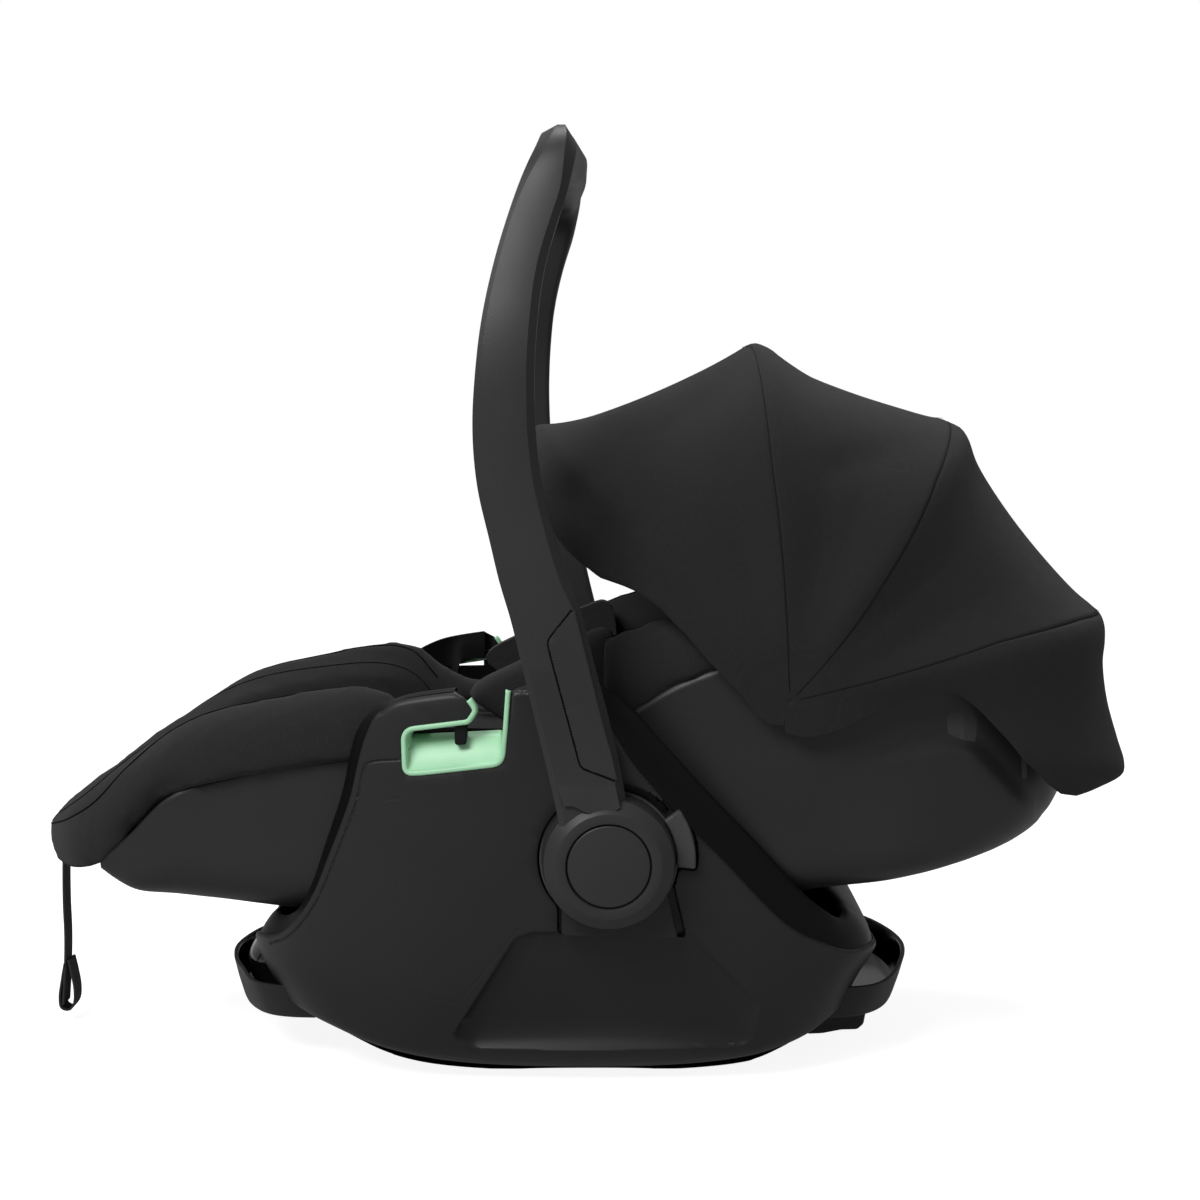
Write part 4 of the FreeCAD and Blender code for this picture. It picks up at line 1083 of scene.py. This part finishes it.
def cloth_swell(made, voxel, pressure, cap):
    """Lets a closed pad swell like filled cloth, with its points kept within cap of where they were."""
    mod = made.modifiers.new("remesh", "REMESH")
    mod.mode, mod.voxel_size = "VOXEL", voxel
    bpy.context.view_layer.objects.active = made
    for o in bpy.context.selected_objects:
        o.select_set(False)
    made.select_set(True)
    bpy.ops.object.modifier_apply(modifier="remesh")
    start = np.array([v.co for v in made.data.vertices])
    cloth = made.modifiers.new("cloth", "CLOTH")
    cloth.settings.quality = 4
    cloth.settings.mass = 0.3
    cloth.settings.tension_stiffness = 22
    cloth.settings.compression_stiffness = 22
    cloth.settings.bending_stiffness = 1.2
    cloth.settings.use_pressure = True
    cloth.settings.uniform_pressure_force = pressure
    cloth.settings.effector_weights.gravity = 0.0
    cloth.point_cache.frame_start, cloth.point_cache.frame_end = 1, SWELL_FRAMES
    scene = bpy.context.scene
    for number in range(1, SWELL_FRAMES + 1):
        scene.frame_set(number)
    dg = bpy.context.evaluated_depsgraph_get()
    swollen = bpy.data.meshes.new_from_object(made.evaluated_get(dg))
    end = np.array([v.co for v in swollen.vertices])
    move = end - start
    length = np.linalg.norm(move, axis=1, keepdims=True)
    end = start + move * np.minimum(1.0, cap / np.maximum(length, 1e-9))
    made.modifiers.clear()
    made.data.vertices.foreach_set("co", end.ravel())
    bpy.data.meshes.remove(swollen)
    scene.frame_set(1)
    made.data.shade_smooth()
    sub = made.modifiers.new("subdivision", "SUBSURF")
    sub.levels = sub.render_levels = 1
    return made


# x, half width, underside, flange, top of the roll, seat surface, width of the roll
PAN_COVER = [(-382, 22, 143, 144.5, 150, 149.5, 9), (-378.5, 40, 139.5, 141.5, 154, 150.5, 13),
             (-373, 58, 136, 138.5, 159.5, 151.5, 17), (-364, 81, 132, 135, 168, 153.5, 22),
             (-349, 104, 129, 132, 181, 156.5, 27), (-326, 117, 134, 138, 199, 160, 30),
             (-303, 124, 136, 160, 213, 162, 31), (-280, 130, 134, 182, 228, 163, 31),
             (-260, 134, 132, 192, 238, 162, 31), (-237, 138, 130, 199, 246, 160, 31),
             (-199, 142, 126, 206, 254, 157, 30), (-170, 145, 124, 211, 260, 154, 28),
             (-150, 147, 122, 214, 262, 151, 26), (-132, 147, 120, 217, 259, 149, 24),
             (-116, 146, 118, 219, 247, 147, 22), (-96, 145, 118, 220, 236, 146, 20),
             (-54, 144, 116, 222, 231, 144, 19)]
BACK_COVER = [(10, 147, 130, 237, 296, 146, 22), (32, 150, 127, 248, 303, 146, 24),
              (60, 154, 127, 264, 311, 147, 26), (100, 158, 131, 280, 317, 153, 27),
              (150, 160, 141, 290, 316, 161, 27), (200, 158, 147, 286, 308, 169, 26),
              (245, 150, 157, 268, 292, 177, 24), (285, 131, 170, 243, 262, 184, 22)]


def cover_rows(stations, count):
    """Closed padded U sections: outer bolster wall, rolled top, inner wall and seat surface, then the underside."""
    rows = []
    for x, half, under, flange, top, seat, roll in smooth_curve(stations, count):
        channel = max(half - roll - 18, 12)
        crest = half - roll * 0.52
        side = [(half - 0.5, flange - 1.8), (half + 1.6, flange + (top - flange) * 0.28),
                (half + 0.5, flange + (top - flange) * 0.62), (half - roll * 0.16, top - (top - flange) * 0.14),
                (crest, top), (half - roll * 0.86, top - (top - seat) * 0.10),
                (half - roll * 1.08, seat + 0.55 * (top - seat)), (half - roll - 8, seat + 0.2 * (top - seat)),
                (channel - 4, seat + 1.5), (channel * 0.5, seat), (0, seat)]
        right = smooth_curve(side, 34)
        low = [(half - 18, flange - 3), (half - 22, under + (flange - under) * 0.5), (half - 36, under), (0, under)]
        low_right = smooth_curve([(half - 6, flange)] + low, 14)
        ring = np.vstack([right, (right * np.array([-1, 1]))[::-1][1:], low_right * np.array([-1, 1]),
                          low_right[::-1][1:]])
        rows.append(np.column_stack([np.full(len(ring), x), ring[:, 0], ring[:, 1]]))
    return np.array(rows)


def cover_piece(name, stations, count, body, node, voxel):
    """A padded cover swollen as cloth, and the rows it was drawn from."""
    rows = cover_rows(stations, count)
    made = add_mesh(name, *tube_mesh(rows), "seat_cloth", body, sharp=0, replaces=(node,))
    return cloth_swell(made, voxel, 3.0, 0.004), rows


def laid_on(made, points, lift):
    """The given points moved onto a piece's surface as it ends up, and lift mm above it."""
    tree = BVHTree.FromObject(made, bpy.context.evaluated_depsgraph_get())
    out = []
    for p in metres(points):
        place, normal, _, _ = tree.find_nearest(Vector(p))
        out.append(np.array(place) * 1000 + np.array([MIDDLE_X, 0, 0]) + np.array(normal) * lift)
    return np.array(out)


def seam_on(made, rows, height, name, body, width=1.1, start=0, stop=None):
    """Sewn line along both sides of a cover, at a given share of its side height; the near-black tube is painted shade
    along the seam.
    """
    pts = []
    for row in rows[start:stop]:
        t = height * 33
        i = int(t)
        pts.append(row[i] + (row[i + 1] - row[i]) * (t - i))
    a = np.linspace(0, 2 * math.pi, 8, endpoint=False)
    meshes = []
    for sign in (-1, 1):
        line = np.array(pts)
        line[:, 1] = sign * np.abs(line[:, 1])
        line = laid_on(made, line, 0.15)
        line[1:-1] = 0.25 * line[:-2] + 0.5 * line[1:-1] + 0.25 * line[2:]
        tan = np.gradient(line, axis=0)
        tan /= np.linalg.norm(tan, axis=1, keepdims=True)
        side = np.cross(tan, np.array([0.0, 1.0, 0.0]))
        side /= np.linalg.norm(side, axis=1, keepdims=True)
        up = np.cross(side, tan)
        ring = line[:, None, :] + width / 2 * (np.cos(a)[None, :, None] * side[:, None, :] +
                                               np.sin(a)[None, :, None] * up[:, None, :])
        meshes.append(tube_mesh(ring))
    return add_mesh(name, *merged(*meshes), "groove", body, sharp=0)


def dimple(made, at, half, depth):
    """Presses the top of a pad down round a fitting."""
    for v in made.data.vertices:
        d = max(abs(v.co.x - at[0]) - half[0], abs(v.co.y - at[1]) - half[1]) * 1000
        if v.co.z > at[2]:
            v.co.z -= depth * (1 - float(eased(d, 0, 7)))


def pan_pieces():
    """Seat pan tub, and its padded cover with two sewn lines."""
    shell_piece("seat_pan_tub", PAN_SHELL, "base", "seat_pan_shell", False)
    cover, rows = cover_piece("leg_cover", PAN_COVER, 70, "base", "seat_cover", 0.005)
    dimple(cover, (-0.2447, 0, 0.155), (0.010, 0.011), 0.0045)
    seam_on(cover, rows, 0.22, "leg_cover_seam", "base", start=2, stop=60)
    seam_on(cover, rows, 0.29, "leg_cover_seam_upper", "base", width=0.7, start=3, stop=60)


def back_pieces():
    """Backrest tub, its padded cover with two sewn lines, and the pads beside the head."""
    shell_piece("backrest_tub", BACK_SHELL, "backrest", "backrest_shell", True, carve_shoulder)
    cover, rows = cover_piece("back_cover", BACK_COVER, 60, "backrest", "backrest_cover", 0.0055)
    seam_on(cover, rows, 0.20, "back_cover_seam", "backrest", stop=40)
    seam_on(cover, rows, 0.33, "back_cover_seam_upper", "backrest", width=0.8, stop=40)
    wing = smooth_curve([(-78, 250), (-46, 270), (-6, 287), (14, 292), (20, 250), (-4, 172), (-20, 174),
                         (-52, 228)], 60, closed=True)
    piece = add_mesh("back_wings", *both_sides(*slab(wing, -121, -97, 7.0, crown=2.0, step=7)), "seat_cloth",
                     "backrest", sharp=60)


# ---------------------------------------------------------------- canopy
TOP_LINE = np.array([(-37, 426), (-21, 427), (-1, 431), (28, 441), (58, 453.5), (87, 467.5), (104, 477), (112, 481.8),
                     (117, 483), (122, 481.6), (130, 475.5), (151, 462), (183, 449), (218, 437.8), (240, 431.6),
                     (248, 430.2), (254, 427), (259, 420), (265.5, 403), (286.5, 370.5), (310, 341), (334, 315),
                     (346, 305), (352, 299), (355, 291), (355.5, 280), (354.5, 266), (358, 240), (366, 212), (371, 196),
                     (370.5, 187), (362, 178)], float)


def polar(line):
    """Angle and distance about the canopy hub."""
    d = np.asarray(line, float) - CANOPY_HUB
    return np.degrees(np.arctan2(d[:, 1], d[:, 0])), np.linalg.norm(d, axis=1)


TOP_ANGLE, TOP_REACH = polar(smooth_curve(TOP_LINE, 400))
SEAM_FRONT = ([0.0, 0.5, 1.0], [92.0, 94.2, 94.6])
SEAM_MIDDLE = ([0.0, 0.3, 0.7, 1.0], [46.5, 51.5, 55.5, 57.0])
SEAM_REAR = ([0.0, 0.5, 0.85, 1.0], [13.5, 15.0, 13.5, 12.0])
VISOR_EDGE = np.array([(0, 258), (18.4, 258), (19.0, 232), (22, 205), (25, 187), (29.2, 174), (38, 164), (50.2, 156.5),
                       (64, 151), (78, 147.3), (101, 144.3), (115, 144.2), (130, 145.7), (144, 147.2), (159, 146.8),
                       (172, 146.2), (184.5, 144.9), (202, 141.7), (218, 138.4), (242, 133.7)], float)
SKIRT_EDGE = np.array([(0, -102), (18.8, -102), (21, -88), (24, -73), (29.7, -45), (38, -27), (47.3, -13.5), (60, -5),
                       (76.5, 1.5), (93, 2.5), (107, 2.1), (118, -1.5), (136, -8), (160, -15.2), (182, -18.9),
                       (193, -20.0), (205, -19.6), (218, -17.8), (230, -15.9), (243, -14.3), (252, -13.2)], float)
BOWS = (93.3, 55.6, 11.0)                # degrees of the front, middle and rear bow about the hub
HUB_HOLE = 0.05
ARCH_RISE, ARCH_SIDE = 0.66, 0.62       # how square the arch is: 1 and 1 would be an ellipse


FOLDS = ((np.array([(62, 448), (39, 429), (8, 402), (-7, 383)], float), 5.0, 17.0),
         (np.array([(-7, 383), (17, 357), (25, 325)], float), 3.5, 12.0),
         (np.array([(96, 462), (72, 440), (54, 428)], float), 2.0, 9.0),
         (np.array([(226, 420), (190, 408), (160, 400)], float), 2.5, 12.0))


def arch_point(angle, t):
    """Point of the canopy at an angle about its hub, t from the near hub (0) over the top (0.5) to the far hub."""
    reach = np.interp(angle, TOP_ANGLE[::-1], TOP_REACH[::-1])
    phi = math.pi * t
    across = -172.5 * np.sign(np.cos(phi)) * np.abs(np.cos(phi)) ** ARCH_SIDE
    out = HUB_HOLE + (reach - HUB_HOLE) * np.abs(np.sin(phi)) ** ARCH_RISE
    near = np.min([np.abs(angle - b) for b in BOWS], axis=0)
    between = eased(near, 0, 17)
    leg = np.abs(np.cos(phi)) ** 0.9
    span = eased(out, 25, 110)
    side_sag = 9.0 * between * span * leg
    front_free = eased(angle, 100, 140)
    across = across + np.sign(-across) * side_sag * (1 - 0.6 * front_free)
    at = CANOPY_HUB + out * np.array([math.cos(math.radians(angle)), math.sin(math.radians(angle))])
    for fold, deep, wide in FOLDS:
        gap = float(distance(at[None, :], fold)[0])
        across = across - np.sign(across) * deep * math.exp(-(gap / wide) ** 2) * leg ** 0.5
    return np.array([CANOPY_HUB[0] + out * math.cos(math.radians(angle)), across,
                     CANOPY_HUB[1] + out * math.sin(math.radians(angle))])


def edge_angle(edge, t):
    """Angle at which the arch at t meets a cut edge given as (reach, angle)."""
    angle = float(edge[-1, 1])
    for _ in range(4):
        reach = float(np.interp(angle, TOP_ANGLE[::-1], TOP_REACH[::-1]))
        out = HUB_HOLE + (reach - HUB_HOLE) * math.sin(math.pi * t) ** ARCH_RISE
        angle = float(np.interp(out, edge[:, 0], edge[:, 1]))
    return angle


STEPS_OVER = [math.asin((k / 62) ** (1 / ARCH_RISE)) / math.pi for k in range(62)]
STEPS_OVER = STEPS_OVER + [0.5] + [1 - t for t in STEPS_OVER[::-1]]


def canopy_grid(low_of, high_of, columns):
    """Grid of canopy points between two angle functions of t."""
    rows = []
    for k in range(columns):
        u = k / (columns - 1)
        row = []
        for t in STEPS_OVER:
            a0, a1 = low_of(t), high_of(t)
            row.append(arch_point(a0 + (a1 - a0) * u, t))
        rows.append(row)
    return np.array(rows)


def seam_angle(seam):
    """Angle of a seam as a function of t."""
    return lambda t: float(np.interp(math.sin(math.pi * t), *seam))


def visor_angle(t):
    return edge_angle(VISOR_EDGE, t)


def skirt_angle(t):
    return edge_angle(SKIRT_EDGE, t)


def canopy_sheet(name, rows, node):
    """One panel of canopy cloth; the four panels meet at the seams."""
    made = add_mesh(name, *sheet_mesh(rows), "canopy_cloth", None, sharp=0, weld=0)
    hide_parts(node)
    thick = made.modifiers.new("thickness", "SOLIDIFY")
    thick.thickness, thick.offset = 0.0014, -1.0
    return made


def canopy_pieces():
    """Four panels of cloth that meet at three seams, and the seams."""
    front, middle, rear = seam_angle(SEAM_FRONT), seam_angle(SEAM_MIDDLE), seam_angle(SEAM_REAR)
    parts = (("canopy_visor_cloth", front, visor_angle, 40, "canopy_visor", "canopy_front", None),
             ("canopy_front_cloth", middle, front, 44, "canopy_front_panel", "canopy_middle", "canopy_front"),
             ("canopy_rear_cloth", rear, middle, 44, "canopy_rear_panel", "backrest", "canopy_middle"),
             ("canopy_skirt_cloth", skirt_angle, rear, 40, "canopy_skirt", "backrest", None))
    for name, low, high, columns, node, body, other in parts:
        rows = canopy_grid(low, high, columns)
        made = canopy_sheet(name, rows, node)
        if other is None:
            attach(made, body)
        else:
            a0, a1 = low(0.5), high(0.5)
            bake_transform(made)
    for name, seam, body in (("canopy_seam_front", front, "canopy_front"),
                             ("canopy_seam_middle", middle, "canopy_middle"),
                             ("canopy_seam_rear", rear, "backrest")):
        pts = []
        for t in np.interp(np.linspace(0, len(STEPS_OVER) - 1, 220)[3:-3], np.arange(len(STEPS_OVER)), STEPS_OVER):
            p = arch_point(seam(t), t)
            centre = np.array([CANOPY_HUB[0], 0, CANOPY_HUB[1]])
            n = (p - centre) * np.array([1, 1.6, 1])
            pts.append(p + n / np.linalg.norm(n) * 0.22)
        pts = np.array(pts)
        lift = pts - np.array([CANOPY_HUB[0], 0, CANOPY_HUB[1]])
        lift /= np.linalg.norm(lift, axis=1, keepdims=True)
        # the seam ribbon is darker than the cloth: dark thread and painted shade along the sewn seam
        add_mesh(name, *ribbon(pts, 0.5, lift), "thread", body, sharp=0)


def canopy_bows():
    """Flat spring bows just under the cloth, each with an eye on the canopy's pins."""
    names = (("front", "canopy_front", SEAM_FRONT, 2), ("middle", "canopy_middle", SEAM_MIDDLE, 1),
             ("rear", "backrest", SEAM_REAR, 0))
    for (name, body, seam, index), angle in zip(names, BOWS):
        rows = []
        for t in np.linspace(0.03, 0.97, 141):
            here = arch_point(seam_angle(seam)(t), t)
            tangent = arch_point(seam_angle(seam)(min(t + 0.01, 1)), min(t + 0.01, 1)) - \
                arch_point(seam_angle(seam)(max(t - 0.01, 0)), max(t - 0.01, 0))
            tangent /= np.linalg.norm(tangent)
            a = math.radians(seam_angle(seam)(t))
            wide = np.array([-math.sin(a), 0.0, math.cos(a)])
            inward = np.cross(tangent, wide)
            inward *= 1 if inward @ (np.array([CANOPY_HUB[0], 0, CANOPY_HUB[1]]) - here) > 0 else -1
            rows.append([here + inward * d + wide * w for d, w in ((5.4, -3), (5.0, 0), (5.4, 3), (7.2, 3), (7.2, -3))])
        rows = np.array(rows)
        strip = tube_mesh(rows)
        y = 165.4 - 2.2 * index
        eye = lathe([(3.1, -y), (9, -y), (9, -y + 1.9), (3.1, -y + 1.9), (3.1, -y)], CANOPY_HUB, 32)
        a = math.radians(angle)
        d, w = np.array([math.cos(a), math.sin(a)]), np.array([-math.sin(a), math.cos(a)])
        link = []
        for along, side in ((7, -3), (30, -3), (30, 3), (7, 3)):
            q = CANOPY_HUB + d * along + w * side
            link += [(q[0], -y, q[1]), (q[0], -y + 1.9, q[1])]
        link_faces = [(0, 2, 4, 6), (1, 7, 5, 3), (0, 1, 3, 2), (2, 3, 5, 4), (4, 5, 7, 6), (6, 7, 1, 0)]
        ends = merged(both_sides(*eye), both_sides(np.array(link), link_faces))
        add_mesh("bow_" + name, *merged(strip, ends), "rubber", body, sharp=30, replaces=("canopy_bow_" + name,))


# ---------------------------------------------------------------- adjuster strap
STRAP_ROUTE = [(-373.0, 136.0), (-374.6, 95.0), (-372.8, 52.0), (-376.0, 12.0)]


def strap():
    """The adjuster webbing that hangs from the leg end, and its sewn pull loop."""
    curve = bpy.data.curves.new("strap_line", "CURVE")
    curve.dimensions = "3D"
    line = curve.splines.new("NURBS")
    line.points.add(len(STRAP_ROUTE) - 1)
    for point, (x, z) in zip(line.points, STRAP_ROUTE):
        point.co = (*metres([(x, 0, z)])[0], 1.0)
    line.order_u = 3
    line.use_endpoint_u = True
    line.resolution_u = 16
    holder = bpy.data.objects.new("strap_line", curve)
    bpy.context.collection.objects.link(holder)
    bpy.context.view_layer.update()
    flat = bpy.data.meshes.new_from_object(holder)
    path = np.array([v.co for v in flat.vertices])
    bpy.data.objects.remove(holder)
    bpy.data.meshes.remove(flat)
    mm = path * 1000 + np.array([MIDDLE_X, 0, 0])
    ring = [(-0.8, -9.6), (-0.8, 9.6), (-0.5, 9.9), (0.5, 9.9), (0.8, 9.6), (0.8, -9.6), (0.5, -9.9), (-0.5, -9.9)]
    rows = np.array([[(p[0] + a, b, p[2]) for a, b in ring] for p in mm])
    web = add_mesh("adjuster_webbing", *tube_mesh(rows), "webbing", "base", sharp=30, replaces=("adjuster_strap",))
    loop = smooth_curve([(-371.6, 44), (-369.4, 34), (-367.6, 22), (-368.4, 12.5), (-372.2, 7.6), (-377.2, 9.4),
                         (-378.4, 17), (-376.6, 30), (-374.4, 42)], 40)
    rows = np.array([[(p[0] + a, b, p[1]) for a, b in ring] for p in loop])
    pull = add_mesh("adjuster_pull_loop", *tube_mesh(rows), "webbing", "base", sharp=30)


# ---------------------------------------------------------------- CAD nodes that stay
KEPT = {
    "steel": ("handle_axle_left", "handle_axle_right",
              "recline_pin_left", "recline_pin_right", "canopy_pin_left", "canopy_pin_right",
              "buckle_tongue_left", "buckle_tongue_right"),
    "foam": ("seat_pan_foam", "backrest_foam"),
    "lever": ("adjuster_housing", "adjuster_button", "buckle"),
    "red": ("buckle_button",),
    "shell": ("headrest_plate",),
    "webbing": ("lap_belt_left", "lap_belt_right", "shoulder_belt_left", "shoulder_belt_right", "crotch_belt"),
    "insert_cloth": ("headrest_pad", "shoulder_pad_left", "shoulder_pad_right", "crotch_pad"),
}


def dress_cad():
    """Materials of the CAD nodes that stay in view."""
    for mat, nodes in KEPT.items():
        for name in nodes:
            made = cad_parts[name]
            for place in made.material_slots:
                place.material = MATS[mat]


camera()
studio()
strap()
base_pieces()
nose([(-214, 69), (-228, 67), (-236, 62), (-241, 54), (-240, 44), (-232, 34), (-212, 28)], 66, "front_nose", "gloss")
catch_block()
front_top = [(-188, -121, 54), (-203, -119, 54), (-213, -114.5, 54), (-223, -107, 54), (-230.8, -94, 54),
             (-238.5, -70, 54), (-246.5, -46, 54), (-251.3, -23, 54)]
front_low = [(-184, -104, 28), (-199, -102.5, 28), (-210.5, -98.5, 28), (-219, -92, 28), (-227, -80, 28),
             (-234.5, -63, 28), (-240, -44, 28.5), (-244.6, -22, 29)]
rear_top = [(162, -121, 53.5), (176, -119.5, 53.5), (188, -115.5, 53.5), (197.5, -108, 53.8), (205.8, -95, 54.5),
            (212.8, -76, 55.3), (218.8, -53, 56), (223.8, -28, 56.2)]
rear_low = [(158, -111, 30), (171, -109.5, 30), (179, -107.5, 30), (188, -101.5, 30), (196.7, -91.5, 30.3),
            (204, -78, 31), (210.5, -56, 32), (216, -28, 32.5)]


def around(line, tip):
    """The near half of a loop, its tip and the mirrored far half."""
    return line + [tip] + [(x, -y, z) for x, y, z in line[::-1]]


bumper("front_band", "front_bumper", around(front_top, (-253.2, 0, 54)), around(front_low, (-246, 0, 29)))
bumper("rear_band", "rear_bumper", around(rear_top, (226, 0, 56.3)), around(rear_low, (218.5, 0, 32.6)))
guides()
handle_pieces()
button_coils()
pan_pieces()
back_pieces()
canopy_pieces()
canopy_bows()
dress_cad()
